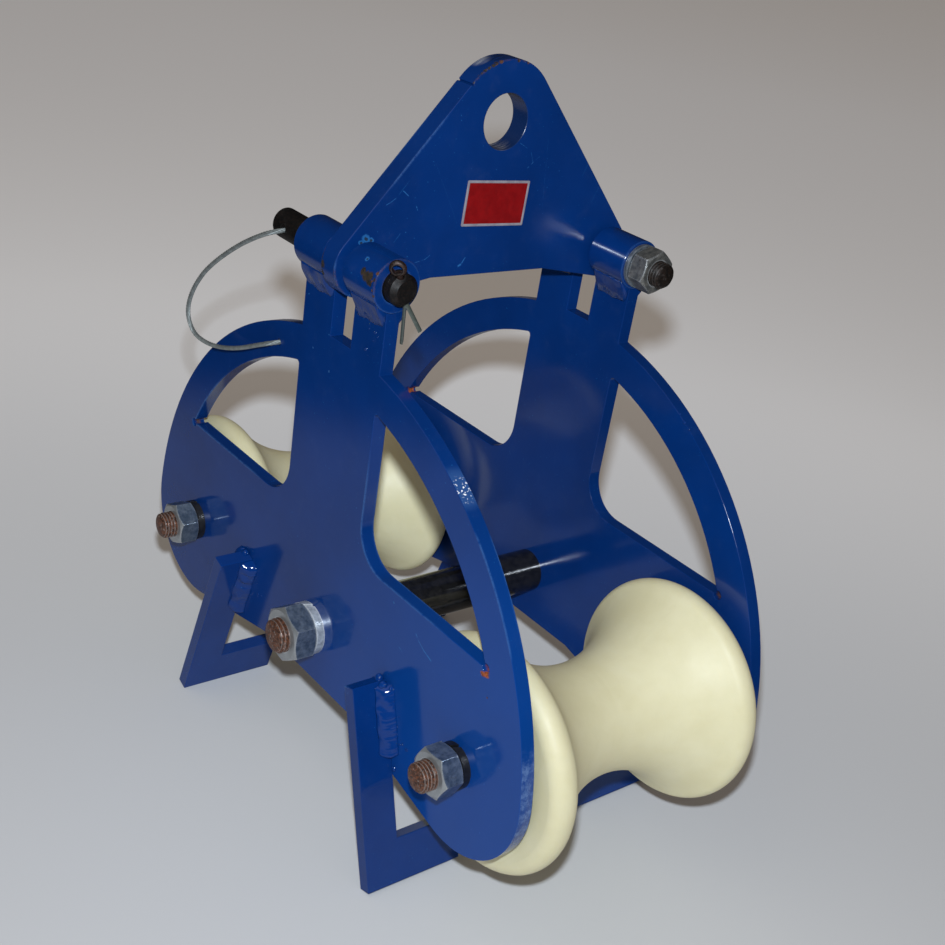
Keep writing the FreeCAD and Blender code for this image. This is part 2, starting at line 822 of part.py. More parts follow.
# Hanger
save("hanger_plate", hanger_plate())
save("hanger_bolt", hanger_bolt())
save("hanger_washer", hanger_washer())
hanger_nut = nut(
    hanger_thread, hanger_flats, hanger_nut_height, hanger_nut_turn, hanger_nut_x)
hanger_nut.translate(on_pivot(FAR, 0))
save("hanger_nut", hanger_nut)

# Hinge pin and lanyard
save("hinge_pin", hinge_pin())
save("split_pin", split_pin())
save("lanyard_wire", lanyard_wire())
save("lanyard_ferrules", lanyard_ferrules())
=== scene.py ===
# %% [markdown]
# # Corner cable roller
# This lesson dresses a corner cable roller, the hanging frame with two hourglass rollers that carries a
# cable round a corner. Its solids come from a CAD model that is loaded as a fixed frame in metres. The
# origin is the centre of the lifting eye, +X runs along the side plates towards the right roller, +Y
# runs across to the far plate, and +Z is up.
# The CAD solids already have the right shape, so most of the work is finish: sprayed enamel, cast
# nylon, rust and zinc. The pieces that CAD leaves plain, such as threads, welds and the twisted wire,
# are made here as meshes.

# %% Load the frame
import bmesh
import bpy
import math
import random
from mathutils import Matrix, Vector, noise


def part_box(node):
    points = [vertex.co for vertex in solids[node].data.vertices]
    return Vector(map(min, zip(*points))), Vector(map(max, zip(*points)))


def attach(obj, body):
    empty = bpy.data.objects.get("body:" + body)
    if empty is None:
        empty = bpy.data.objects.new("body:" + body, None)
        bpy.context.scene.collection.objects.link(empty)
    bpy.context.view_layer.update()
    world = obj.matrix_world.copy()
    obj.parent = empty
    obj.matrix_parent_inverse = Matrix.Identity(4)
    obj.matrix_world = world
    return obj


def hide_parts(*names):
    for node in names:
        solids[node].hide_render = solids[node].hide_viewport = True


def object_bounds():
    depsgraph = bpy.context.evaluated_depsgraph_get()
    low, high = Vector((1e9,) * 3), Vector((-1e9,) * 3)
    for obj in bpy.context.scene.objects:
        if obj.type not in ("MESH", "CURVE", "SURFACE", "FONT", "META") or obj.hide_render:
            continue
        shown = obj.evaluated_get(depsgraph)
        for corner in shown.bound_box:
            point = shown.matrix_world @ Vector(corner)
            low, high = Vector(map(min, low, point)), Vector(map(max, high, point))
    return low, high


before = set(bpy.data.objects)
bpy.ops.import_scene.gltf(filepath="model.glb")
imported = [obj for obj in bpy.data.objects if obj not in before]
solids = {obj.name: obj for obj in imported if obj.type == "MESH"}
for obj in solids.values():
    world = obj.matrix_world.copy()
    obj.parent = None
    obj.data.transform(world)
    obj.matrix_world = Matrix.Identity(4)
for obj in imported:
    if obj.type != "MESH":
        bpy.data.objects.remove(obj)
cad_low, cad_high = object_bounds()
mm = 0.001
print("solids", len(solids), "size in mm", [round((b - a) / mm, 1) for a, b in zip(cad_low, cad_high)])

# %% [markdown]
# ## Camera
# The camera stands as the photographer did: in front of the right end, a little above the lifting eye
# and close enough for strong perspective. Its place, turn and focal length were worked out from the
# corners of the side plates, so they are plain numbers here. A small shift puts the picture's centre
# where it was cropped.

# %% Camera
camera_data = bpy.data.cameras.new("camera")
camera_data.sensor_width = 36.0
camera_data.lens = 49.828
camera_data.shift_x = -0.00066
camera_data.shift_y = 0.08855
camera = bpy.data.objects.new("camera", camera_data)
camera.location = (0.5162, -0.43926, 0.12215)
camera.rotation_euler = [math.radians(a) for a in (61.024, -8.512, 52.239)]
bpy.context.scene.collection.objects.link(camera)
bpy.context.scene.camera = camera
print("camera", [round(c, 3) for c in camera.location], "lens", camera_data.lens)

# %% [markdown]
# ## Small helpers for meshes
# Turned and swept pieces are all rows of points joined by four-sided faces. One helper joins such
# rings, so that bolts, beads and strands only have to say where their points are. Every piece is made
# in place, with its object at the origin, so its texture coordinates are the frame's own metres.

# %% Pieces from rings of points
def make_piece(name, points, faces, body):
    """A mesh object in place in the frame, that moves with one body."""
    mesh = bpy.data.meshes.new(name)
    mesh.from_pydata([tuple(p) for p in points], [], faces)
    mesh.shade_smooth()
    piece = bpy.data.objects.new(name, mesh)
    bpy.context.scene.collection.objects.link(piece)
    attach(piece, body)
    return piece


def join_rings(rings, first=0):
    """Faces between rings of equal count, capped at both ends; first is the first point's number."""
    count = len(rings[0])
    faces = []
    for row in range(len(rings) - 1):
        for i in range(count):
            a = first + row * count + i
            b = first + row * count + (i + 1) % count
            faces.append((a, b, b + count, a + count))
    last = first + (len(rings) - 1) * count
    faces.append(tuple(range(first + count - 1, first - 1, -1)))
    faces.append(tuple(range(last, last + count)))
    return faces


def sharpen(piece, degrees=32.0):
    """Keep the edges sharp where faces meet at more than this angle."""
    piece.data.set_sharp_from_angle(angle=math.radians(degrees))
    return piece


# %% [markdown]
# ## Lanyard
# A thin galvanised wire rope keeps the hinge pin with the frame. It leaves the hole in the pin's tail,
# springs out to the left in one loose loop and ends in a hole in the near plate. A rope like this could
# be one smooth tube, but its twist catches the light, so six strands are laid round a core. Their line
# is a NURBS spline whose control points are the route's points. The real rope is seen from end to end,
# so its length is what is seen.

# %% Line of the lanyard
lanyard_diameter = 2.6 * mm
lanyard_points = [
    (-55.2, -68.5, -68.9), (-55.2, -89.0, -68.9), (-74.2, -93.0, -79.4), (-91.7, -93.5, -90.4),
    (-108.2, -94.0, -102.4), (-120.7, -94.5, -113.4), (-132.7, -94.5, -128.4), (-137.7, -94.0, -142.4),
    (-130.7, -93.0, -152.4), (-116.2, -91.5, -153.4), (-101.2, -90.0, -150.4), (-85.7, -88.5, -144.9),
    (-70.2, -87.5, -137.4), (-57.5, -85.5, -131.4), (-57.5, -73.0, -131.4)]
lanyard_curve = bpy.data.curves.new("lanyard_line", "CURVE")
lanyard_curve.dimensions = "3D"
lanyard_curve.resolution_u = 36
spline = lanyard_curve.splines.new("NURBS")
spline.points.add(len(lanyard_points) - 1)
for control, place in zip(spline.points, lanyard_points):
    control.co = (place[0] * mm, place[1] * mm, place[2] * mm, 1.0)
spline.order_u = 3
spline.use_endpoint_u = True
lanyard_line = bpy.data.objects.new("lanyard_line", lanyard_curve)
bpy.context.scene.collection.objects.link(lanyard_line)
line_mesh = bpy.data.meshes.new_from_object(lanyard_line)
lanyard_path = [v.co.copy() for v in line_mesh.vertices]
bpy.data.objects.remove(lanyard_line)


# %% Strands of the lanyard
def frames_along(path):
    """For each point of a path: the point, two directions across it, and the length run so far."""
    across = (path[1] - path[0]).orthogonal().normalized()
    run = 0.0
    made = []
    for i, point in enumerate(path):
        ahead = (path[min(i + 1, len(path) - 1)] - path[max(i - 1, 0)]).normalized()
        across = (across - ahead * across.dot(ahead)).normalized()
        run += (point - path[i - 1]).length if i else 0.0
        made.append((point, across, ahead.cross(across), run))
    return made


def strand(path_frames, offset, radius, lay, start_angle, sides=8):
    """Rings of one strand that winds round a path."""
    centres = []
    for point, u, v, run in path_frames:
        angle = start_angle + 2 * math.pi * run / lay
        centres.append(point + (u * math.cos(angle) + v * math.sin(angle)) * offset)
    rings = []
    for centre, u, v, run in frames_along(centres):
        turns = [2 * math.pi * k / sides for k in range(sides)]
        rings.append([centre + (u * math.cos(t) + v * math.sin(t)) * radius for t in turns])
    return rings


strand_radius = lanyard_diameter / 6
path_frames = frames_along(lanyard_path)
rope_points = []
rope_faces = []
for number in range(7):
    offset = 2 * strand_radius if number else 0.0
    rings = strand(path_frames, offset, strand_radius, 12 * mm, number * math.pi / 3)
    rope_faces += join_rings(rings, len(rope_points))
    rope_points += [p for r in rings for p in r]
lanyard = make_piece("lanyard_rope", rope_points, rope_faces, "frame")
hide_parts("lanyard_wire")
print("rope faces", len(rope_faces))

# %% [markdown]
# ## Floor and light
# The floor is one big pale sheet, so no horizon shows. Most of the light comes from a small lamp just
# above the camera, as from a built-in flash. It throws cool light and leaves a shadow a little below
# each piece. An even, warmer surround and a large soft lamp overhead fill these shadows. A lamp this
# close would burn out the near part of the floor, so its light is made to fall off less than it really
# would, and the camera sees the floor a little darker there. Glossy paint also mirrors the room. Near
# the part it mirrors the pale sheet, and further out a dark room, so the floor and the surround have
# colours of their own for glossy rays.

# %% Floor
floor_z = cad_low.z - 0.05 * mm
floor_half = 9.0
floor_mesh = bpy.data.meshes.new("floor")
corner_signs = [(-1, -1), (1, -1), (1, 1), (-1, 1)]
corners = [(sx * floor_half, sy * floor_half, floor_z) for sx, sy in corner_signs]
floor_mesh.from_pydata(corners, [], [(0, 1, 2, 3)])
floor = bpy.data.objects.new("floor", floor_mesh)
bpy.context.scene.collection.objects.link(floor)
print("floor at", round(floor_z, 4))


# %% Helper for materials
def colour(red, green, blue):
    """Linear colour for a picture colour of 0 to 255."""
    linear = []
    for level in (red, green, blue):
        share = level / 255
        linear.append(share / 12.92 if share <= 0.04 else ((share + 0.055) / 1.055) ** 2.4)
    return (*linear, 1.0)


def grey(level):
    """Linear grey of this level, from 0 to 1."""
    return (level, level, level, 1.0)


class Finish:
    """A material, with short ways to add the nodes that its finish needs."""

    def __init__(self, name):
        self.material = bpy.data.materials.new(name)
        self.material.use_nodes = True
        self.tree = self.material.node_tree
        self.shader = self.tree.nodes["Principled BSDF"]
        self.place = self.tree.nodes.new("ShaderNodeTexCoord").outputs["Object"]

    def feed(self, socket, value):
        """Link a node's output to a socket, or set the socket's own value."""
        if isinstance(value, bpy.types.NodeSocket):
            self.tree.links.new(value, socket)
        else:
            socket.default_value = value

    def add(self, kind, output, values, **settings):
        """A node with some settings and input values; returns one of its outputs."""
        node = self.tree.nodes.new(kind)
        for name, value in settings.items():
            setattr(node, name, value)
        for socket, value in values.items():
            self.feed(node.inputs[socket], value)
        return node.outputs[output]

    def number(self, operation, a, b=0.0):
        """Arithmetic on one or two numbers."""
        return self.add("ShaderNodeMath", 0, {0: a, 1: b}, operation=operation)

    def times(self, a, b):
        """The product of two numbers, such as two masks."""
        return self.number("MULTIPLY", a, b)

    def plus(self, a, b):
        """The sum of two numbers."""
        return self.number("ADD", a, b)

    def outside(self, mask):
        """1 where a mask is 0, and 0 where it is 1."""
        return self.number("SUBTRACT", 1.0, mask)

    def vector(self, operation, values, output=0):
        """Arithmetic on vectors; output 0 is a vector and output 1 is a number."""
        return self.add("ShaderNodeVectorMath", output, values, operation=operation)

    def along(self, axis, vector=None):
        """The place along an axis (0, 1 or 2), or another vector's part along it."""
        return self.add("ShaderNodeSeparateXYZ", axis, {0: vector or self.place})

    def facing(self, axis):
        """How squarely a face looks along an axis, from 0 to 1."""
        normal = self.add("ShaderNodeNewGeometry", "Normal", {})
        return self.number("ABSOLUTE", self.along(axis, normal))

    def grain(self, size, detail, roughness, seed, place=None):
        """Cloudy noise from 0 to 1, whose lumps are about this size in metres."""
        values = {"Vector": place or self.place, "Scale": 1 / size, "Detail": detail,
                  "Roughness": roughness, "W": seed}
        return self.add("ShaderNodeTexNoise", 0, values, noise_dimensions="4D")

    def patches(self, size, low, high, seed=0.0, detail=4.0, roughness=0.6, place=None):
        """Patches of 1 on 0 about this size, where the noise rises from a low to a high level."""
        return self.within(self.grain(size, detail, roughness, seed, place), low, high)

    def uneven(self, base, amount, size, seed, detail=4.0, roughness=0.6):
        """A number that the noise raises from its base by up to an amount."""
        return self.plus(base, self.times(self.grain(size, detail, roughness, seed), amount))

    def within(self, value, low, high):
        """0 at low, 1 at high, with a smooth step between them."""
        values = {"Value": value, "From Min": low, "From Max": high}
        return self.add("ShaderNodeMapRange", 0, values, interpolation_type="SMOOTHSTEP")

    def blend(self, amount, first, second):
        """Colour that goes from the first to the second."""
        values = {0: amount, 6: first, 7: second}
        return self.add("ShaderNodeMix", 2, values, data_type="RGBA")

    def cover(self, under, tone, mask, strength):
        """A colour with a tone over it where the mask is 1, at this strength."""
        return self.blend(self.times(mask, strength), under, tone)

    def distance(self, place, point):
        """Distance of a place from one point."""
        return self.vector("DISTANCE", {0: place, 1: point}, 1)

    def highest(self, masks):
        """The strongest of several masks."""
        strongest = masks[0]
        for mask in masks[1:]:
            strongest = self.number("MAXIMUM", strongest, mask)
        return strongest

    def bump(self, height, depth, normal=None):
        """Relief of this depth in metres, as a normal."""
        values = {"Height": height, "Distance": depth, "Strength": 1.0}
        if normal is not None:
            values["Normal"] = normal
        return self.add("ShaderNodeBump", 0, values)

    def relief(self, size, depth, seed, detail=4.0, roughness=0.6):
        """Relief of cloudy noise, with lumps about this size and this depth in metres."""
        return self.bump(self.grain(size, detail, roughness, seed), depth)

    def set(self, **values):
        """Values of the shader's sockets, by their names with _ for a space."""
        for name, value in values.items():
            self.feed(self.shader.inputs[name.replace("_", " ")], value)
        return self.material


# %% Colour of the floor, and what gloss sees
def sheet_strip(finish, sheet_colour, room_colour):
    """The sheet's colour inside a strip along the camera's line of sight, and the room's beyond it."""
    across_sight = (0.65, 0.76, 0.0)
    sheet_edge = 0.48
    room_edge = 0.64
    offset = finish.vector("DOT_PRODUCT", {0: finish.place, 1: across_sight}, 1)
    beyond = finish.within(finish.number("ABSOLUTE", offset), sheet_edge, room_edge)
    return finish.blend(beyond, sheet_colour, room_colour)


paper = Finish("pale_floor")
light_path = paper.tree.nodes.new("ShaderNodeLightPath")
foot_of_camera = (camera.location.x, camera.location.y, floor_z)
reach = paper.distance(paper.place, foot_of_camera)
cool_white = (0.9, 0.93, 0.97, 1.0)
close_tone = paper.blend(paper.within(reach, 0.72, 1.5), grey(0.485), grey(0.79))
seen_tone = paper.blend(paper.within(reach, 1.2, 4.0), close_tone, cool_white)
mirrored = sheet_strip(paper, colour(150, 150, 152), colour(12, 12, 13))
lighting_tone = paper.blend(light_path.outputs["Is Glossy Ray"], grey(0.75), mirrored)
paper.set(Base_Color=paper.blend(light_path.outputs["Is Camera Ray"], lighting_tone, seen_tone),
          Roughness=0.9, Specular_IOR_Level=0.1)
floor_mesh.materials.append(paper.material)
print("floor nodes", len(paper.tree.nodes))

# %% Surround and lamps
world = bpy.data.worlds.new("surround")
world.use_nodes = True
bpy.context.scene.world = world
sky = world.node_tree.nodes["Background"]
sky_path = world.node_tree.nodes.new("ShaderNodeLightPath")
sky_mix = world.node_tree.nodes.new("ShaderNodeMix")
sky_mix.data_type = "RGBA"
warm_surround = (0.29, 0.25, 0.215, 1.0)
dark_room = (0.015, 0.015, 0.016, 1.0)
sky_mix.inputs[6].default_value = warm_surround
sky_mix.inputs[7].default_value = dark_room
world.node_tree.links.new(sky_path.outputs["Is Glossy Ray"], sky_mix.inputs[0])
world.node_tree.links.new(sky_mix.outputs[2], sky.inputs["Color"])


def add_lamp(name, place, target, size, power):
    """A round soft lamp that points at a target."""
    data = bpy.data.lights.new(name, "AREA")
    data.shape = "DISK"
    data.size = size
    data.energy = power
    lamp = bpy.data.objects.new(name, data)
    lamp.location = place
    lamp.rotation_euler = (Vector(target) - Vector(place)).to_track_quat("-Z", "Y").to_euler()
    bpy.context.scene.collection.objects.link(lamp)
    return lamp


middle = (0.0, 0.0, -0.2)
camera_up = camera.rotation_euler.to_matrix() @ Vector((0.0, 1.0, 0.0))
flash_height = 0.052
flash = add_lamp("flash", camera.location + camera_up * flash_height, middle, size=0.022, power=9.9)
flash.data.color = (0.9, 1.0, 1.12)
flash.data.use_nodes = True
flash_tree = flash.data.node_tree
falloff = flash_tree.nodes.new("ShaderNodeLightFalloff")
falloff.inputs["Strength"].default_value = 1.0
falloff_mix = flash_tree.nodes.new("ShaderNodeMix")
linear_share = 0.42
falloff_mix.inputs[0].default_value = linear_share
flash_tree.links.new(falloff.outputs["Constant"], falloff_mix.inputs[2])
flash_tree.links.new(falloff.outputs["Linear"], falloff_mix.inputs[3])
flash_tree.links.new(falloff_mix.outputs[0], flash_tree.nodes["Emission"].inputs["Strength"])
overhead = add_lamp("overhead", (-0.38, -0.9, 1.28), middle, size=1.4, power=2.5)
overhead.data.color = (1.0, 0.93, 0.85)
bpy.context.scene.view_settings.view_transform = "Standard"
print("lamps", flash.name, overhead.name)

# %% [markdown]
# ## Screws with real threads
# The studs stick out of their nuts by two or three centimetres, so their threads are seen from close by.
# A thread could be faked with a bump, but its outline shows against the pale floor. Here each ring of
# points runs round the bar, and the radius of every point follows a V groove that climbs one pitch per
# turn. A rounded end, a plain shank and a chamfered hexagon head complete the bar.

# %% Helpers for screws
def groove_depth(share):
    """How deep a V groove with flat top and bottom is, from 0 to 1, at a share of one pitch."""
    return min(1.0, max(0.0, (abs(2 * share - 1) - 0.12) / 0.76))


def hexagon_radius(flats, angle):
    """Distance from the axis to a hexagon's side; its corners are at multiples of 60 degrees."""
    past_corner = angle % (math.pi / 3) - math.pi / 6
    return flats / 2 / math.cos(past_corner)


def rough(point, size, depth, seed):
    """Small push along the radius, as rust leaves it."""
    return depth * noise.noise(point / size + Vector((seed, seed, seed)))


def thread_rings(radius, pitch, tip, end, seed, around=72, steps=12):
    """Rings of a thread along the X axis, from its rounded tip at tip to end, with end above tip."""
    rings = []
    depth = 0.6 * pitch
    dome = 0.16 * radius
    for share in (0.1, 0.3, 0.5, 0.68):
        rings.append(ring_of(tip + dome * share ** 2, [radius * share] * around, seed))
    rim = tip + 0.8 * dome
    rows = round((end - rim) / pitch * steps)
    for row in range(rows + 1):
        x = rim + (end - rim) * row / rows
        past = (x - tip) / pitch
        rounding = radius * (1 - 0.17 * max(0.0, 1 - (x - rim) / (0.2 * radius)) ** 2)
        radii = []
        for k in range(around):
            share = (past + k / around) % 1.0
            radii.append(min(rounding, radius - depth * (1 - groove_depth(share))))
        rings.append(ring_of(x, radii, seed))
    return rings


def ring_of(x, radii, seed=0.0, roughness=0.1 * mm):
    """Points round the X axis at x, one per radius, slightly uneven."""
    ring = []
    for k, radius in enumerate(radii):
        angle = 2 * math.pi * k / len(radii)
        point = Vector((x, radius * math.cos(angle), radius * math.sin(angle)))
        wide = 1 + rough(point, 2.2 * mm, roughness, seed) / max(radius, mm)
        ring.append(Vector((x, point.y * wide, point.z * wide)))
    return ring


def head_rings(flats, start, end, around=72):
    """Rings of a hexagon head between two places on the X axis, chamfered at both faces."""
    face = 0.475 * flats
    corner = flats / math.sqrt(3)
    slope = (corner - face) * math.tan(math.radians(30))
    rings = []
    levels = [0.0, 0.25, 0.5, 0.75, 1.0]
    for level in levels:
        rings.append((start + slope * level, face + (corner - face) * level))
    for level in reversed(levels):
        rings.append((end - slope * level, face + (corner - face) * level))
    made = []
    for x, limit in rings:
        radii = [min(limit, hexagon_radius(flats, 2 * math.pi * k / around)) for k in range(around)]
        made.append(ring_of(x, radii, 0.0, 0.0))
    return made


def plain_rings(radius, start, end, around=72):
    """Rings of a plain bar."""
    return [ring_of(x, [radius] * around, 0.0, 0.0) for x in (start, end)]


def across_plates(points, x, z):
    """Points of a bar along +X, laid across the plates along +Y."""
    return [Vector((x - p.y, middle_y + p.x, z + p.z)) for p in points]


# %% Roller axles and centre bolt
middle_y = (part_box("near_side_plate")[0].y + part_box("far_side_plate")[1].y) / 2
inner_face = middle_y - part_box("near_side_plate")[1].y
outer_face = middle_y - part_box("near_side_plate")[0].y
axle_z = (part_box("centre_spacer_tube")[0].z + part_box("centre_spacer_tube")[1].z) / 2
axle_x = (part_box("right_roller")[0].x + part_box("right_roller")[1].x) / 2


def make_axle(name, x, thread_radius, pitch, shank_radius, flats, seed):
    """A bolt across both side plates, which replaces its plain CAD node."""
    low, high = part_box(name)
    tip = low.y - middle_y
    thread_end = -(outer_face - 3 * mm)
    rings = thread_rings(thread_radius, pitch, tip, thread_end, seed)
    rings += plain_rings(shank_radius, thread_end + 0.2 * mm, outer_face)
    rings += head_rings(flats, outer_face, high.y - middle_y)
    points = across_plates([p for ring in rings for p in ring], x, axle_z)
    piece = sharpen(make_piece(name + "_threaded", points, join_rings(rings), "frame"), 40.0)
    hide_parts(name)
    print(name, "tip at", round(tip / mm, 1), "points", len(points))
    return piece


axle_sizes = dict(thread_radius=8.0 * mm, pitch=2.0 * mm, shank_radius=8.48 * mm, flats=24.0 * mm)
centre_sizes = dict(thread_radius=10.0 * mm, pitch=2.5 * mm, shank_radius=10.0 * mm, flats=30.0 * mm)
screws = [
    make_axle("left_roller_axle", -axle_x, seed=3.1, **axle_sizes),
    make_axle("right_roller_axle", axle_x, seed=7.7, **axle_sizes),
    make_axle("centre_bolt", 0.0, seed=5.2, **centre_sizes)]

# %% Hanger bolt
bolt_low, bolt_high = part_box("hanger_bolt")
bolt_y = (bolt_low.y + bolt_high.y) / 2
bolt_z = (bolt_low.z + bolt_high.z) / 2
neck_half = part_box("far_right_tube")[1].x
turned_back = Matrix.Rotation(math.pi, 3, "Z")
rings = thread_rings(7.0 * mm, 2.0 * mm, -bolt_high.x, -neck_half + 4 * mm, 1.3)
rings += plain_rings(6.95 * mm, -neck_half + 4.2 * mm, neck_half)
rings += head_rings(21.0 * mm, neck_half, -bolt_low.x)
points = [turned_back @ p + Vector((0.0, bolt_y, bolt_z)) for ring in rings for p in ring]
hanger_bolt = sharpen(make_piece("hanger_bolt_threaded", points, join_rings(rings), "frame"), 40.0)
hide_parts("hanger_bolt")
print("hanger bolt from", round(bolt_low.x / mm, 1), "to", round(bolt_high.x / mm, 1))

# %% [markdown]
# ## Weld beads
# Tubes and feet are held by hand-laid welds. Each is a lumpy fillet that is swept along its seam: it
# reaches a few millimetres out on both faces, sinks a little into them and tapers at its ends. Noise
# gives it lumps and a ragged edge, and the welds of the feet also have faint ripples, one for each
# puddle. Where a welder stopped or started, a rounder lump sits at the end. Spatter is a scatter of
# small drops that froze beside the seam. The random sizes come from fixed seeds, so the same welds come
# out each time.

# %% Helper for weld beads
def weld_fillet(name, start, end, first, second, seed, bulge, lumps, lump_size, ripples, wander):
    """A lumpy fillet along a seam from start to end.

    first and second are how far it reaches along each face, bulge, lumps and ripples how far these
    stand up, and wander how much its width changes.
    """
    shake = random.Random(seed)
    along = (end - start).normalized()
    length = (end - start).length
    outward = along.cross(second - first).normalized()
    if outward.dot(first + second) < 0:
        outward.negate()
    rows = max(30, round(length / (0.4 * mm)))
    steps = 12
    phase = shake.uniform(0, 1)
    puddle = 3.4 * mm
    rings = []
    for row in range(rows + 1):
        run = length * row / rows
        to_end = min(run, length - run)
        taper = math.sqrt(max(0.0, 1 - (1 - min(1.0, to_end / (3.0 * mm))) ** 2))
        taper = 0.12 + 0.88 * taper
        share = (run / puddle + phase + 0.5 * noise.noise(Vector((run / (6 * mm), seed, 0.5)))) % 1.0
        ripple = math.sin(math.pi * share) ** 0.8
        wide_a = 1 + wander * noise.noise(Vector((run / (9 * mm), seed, 3.0)))
        wide_b = 1 + wander * noise.noise(Vector((run / (9 * mm), seed, 7.0)))
        wide_b += 0.05 * noise.noise(Vector((run / (1.3 * mm), seed, 9.0)))
        ring = []
        for step in range(steps + 1):
            t = step / steps
            rise = math.sin(math.pi * t)
            place = start + along * (run + 1.3 * mm * rise * taper)
            place = place + (first * wide_a * (1 - t) + second * wide_b * t) * taper
            rough_lump = noise.noise(place / lump_size + Vector((seed, 0, 0)))
            rough_lump += 0.12 * noise.noise(place / (0.35 * lump_size))
            push = rise * (bulge + ripples * ripple) + lumps * rough_lump * (0.35 + 0.65 * rise)
            ring.append(place + outward * (push - 0.25 * mm) * taper)
        ring.append(start + along * run - outward * 1.2 * mm)
        rings.append(ring)
    piece = make_piece(name, [p for r in rings for p in r], join_rings(rings), "frame")
    return piece


def weld_piece(name, blob):
    """A piece of the frame from a bmesh of weld metal, which is freed."""
    mesh = bpy.data.meshes.new(name)
    blob.to_mesh(mesh)
    blob.free()
    mesh.shade_smooth()
    piece = bpy.data.objects.new(name, mesh)
    bpy.context.scene.collection.objects.link(piece)
    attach(piece, "frame")
    return piece


def weld_lumps(name, lumps):
    """Round lumps of weld metal: each is a centre, a radius and a stretch along Z."""
    blob = bmesh.new()
    for number, (centre, radius, stretch) in enumerate(lumps):
        ball = bmesh.ops.create_icosphere(blob, subdivisions=3, radius=radius)
        for vertex in ball["verts"]:
            swell = 1 + 0.35 * noise.noise(vertex.co / (1.1 * radius) + Vector((number, 0, 0)))
            vertex.co = centre + Vector((vertex.co.x, vertex.co.y, vertex.co.z * stretch)) * swell
    return weld_piece(name, blob)


def spatter(name, places, seed):
    """Frozen drops: each place is a centre, two directions in the face, a spread and a count."""
    shake = random.Random(seed)
    blob = bmesh.new()
    for centre, u, v, spread, count in places:
        for number in range(count):
            place = centre + u * shake.gauss(0, spread) + v * shake.gauss(0, spread)
            size = shake.uniform(0.3, 1.0) * mm
            ball = bmesh.ops.create_icosphere(blob, subdivisions=2, radius=size)
            flat = u.cross(v).normalized()
            for vertex in ball["verts"]:
                vertex.co = place + vertex.co - flat * vertex.co.dot(flat) * 0.2
    return weld_piece(name, blob)


# %% Welds under the tubes
tube_radius = (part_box("near_right_tube")[1].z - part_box("near_right_tube")[0].z) / 2
tube_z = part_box("near_right_tube")[1].z - tube_radius
plate_middle = (inner_face + outer_face) / 2
slot_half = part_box("near_right_tube")[0].x
seam_z = tube_z - math.sqrt(tube_radius ** 2 - (4 * mm) ** 2)
tube_sizes = dict(bulge=0.6 * mm, lumps=0.7 * mm, lump_size=7.0 * mm, ripples=0.0, wander=0.16)
welds = []
for side, side_name in ((-1, "near"), (1, "far")):
    for end, end_name in ((-1, "left"), (1, "right")):
        for face, face_name in ((-1, "inner"), (1, "outer")):
            out = side * face
            seam_y = middle_y + side * plate_middle + out * 4 * mm
            start = Vector((end * (slot_half + 0.4 * mm), seam_y, seam_z))
            stop = Vector((end * (neck_half - 0.4 * mm), seam_y, seam_z))
            on_tube = Vector((0.0, out * 6.0 * mm, 3.6 * mm))
            on_plate = Vector((0.0, 0.0, -9.0 * mm))
            name = side_name + "_" + end_name + "_tube_weld_" + face_name
            seed = len(welds) + 1
            welds.append(weld_fillet(name, start, stop, on_tube, on_plate, seed, **tube_sizes))
print("tube welds", len(welds))

# %% Welds of the feet
lean = math.radians(18.3)
foot_x = 73.5 * mm
leg_down = Vector((math.sin(lean), 0.0, -math.cos(lean)))
leg_side = Vector((math.cos(lean), 0.0, math.sin(lean)))
foot_sizes = dict(bulge=1.2 * mm, lumps=1.0 * mm, lump_size=4.5 * mm, ripples=0.05 * mm, wander=0.14)
foot_welds = []
for side, side_name in ((-1, "near"), (1, "far")):
    for end, end_name in ((-1, "left"), (1, "right")):
        for face, face_name in ((-1, "inner"), (1, "outer")):
            down = Vector((end * leg_down.x, 0.0, leg_down.z))
            across = Vector((end * leg_side.x, 0.0, leg_side.z)) * face
            corner = Vector((end * foot_x, middle_y + side * outer_face, axle_z)) + across * 4 * mm
            on_leg = Vector((0.0, side * 8.0 * mm, 0.0))
            on_plate = across * 7.4 * mm
            start = corner - down * 9.5 * mm
            stop = corner + down * 32 * mm
            name = side_name + "_" + end_name + "_foot_weld_" + face_name
            seed = 20 + len(foot_welds)
            foot_welds.append(weld_fillet(name, start, stop, on_leg, on_plate, seed, **foot_sizes))
print("foot welds", len(foot_welds))

# %% Lumps and spatter
lump_y = middle_y - outer_face
near_lumps = weld_lumps("near_foot_weld_lumps", [
    (Vector((foot_x - 2.5 * mm, lump_y - 2.6 * mm, axle_z + 11.0 * mm)), 2.1 * mm, 1.2),
    (Vector((foot_x + 2.5 * mm, lump_y - 3.4 * mm, axle_z + 10.0 * mm)), 2.6 * mm, 1.0),
    (Vector((foot_x + 6.5 * mm, lump_y - 1.0 * mm, axle_z + 9.0 * mm)), 1.5 * mm, 1.3),
    (Vector((foot_x + 18.5 * mm, lump_y - 0.4 * mm, axle_z - 35.5 * mm)), 1.1 * mm, 1.5),
    (Vector((-foot_x + 1.5 * mm, lump_y - 2.2 * mm, axle_z + 10.6 * mm)), 2.2 * mm, 1.1),
    (Vector((-foot_x - 3.0 * mm, lump_y - 1.4 * mm, axle_z + 10.4 * mm)), 1.4 * mm, 1.0)])
right = Vector((1, 0, 0))
up = Vector((0, 0, 1))
down_the_rim = Vector((0.86, 0, -0.51))
over_the_rim = Vector((0.06, 0, 0.1))
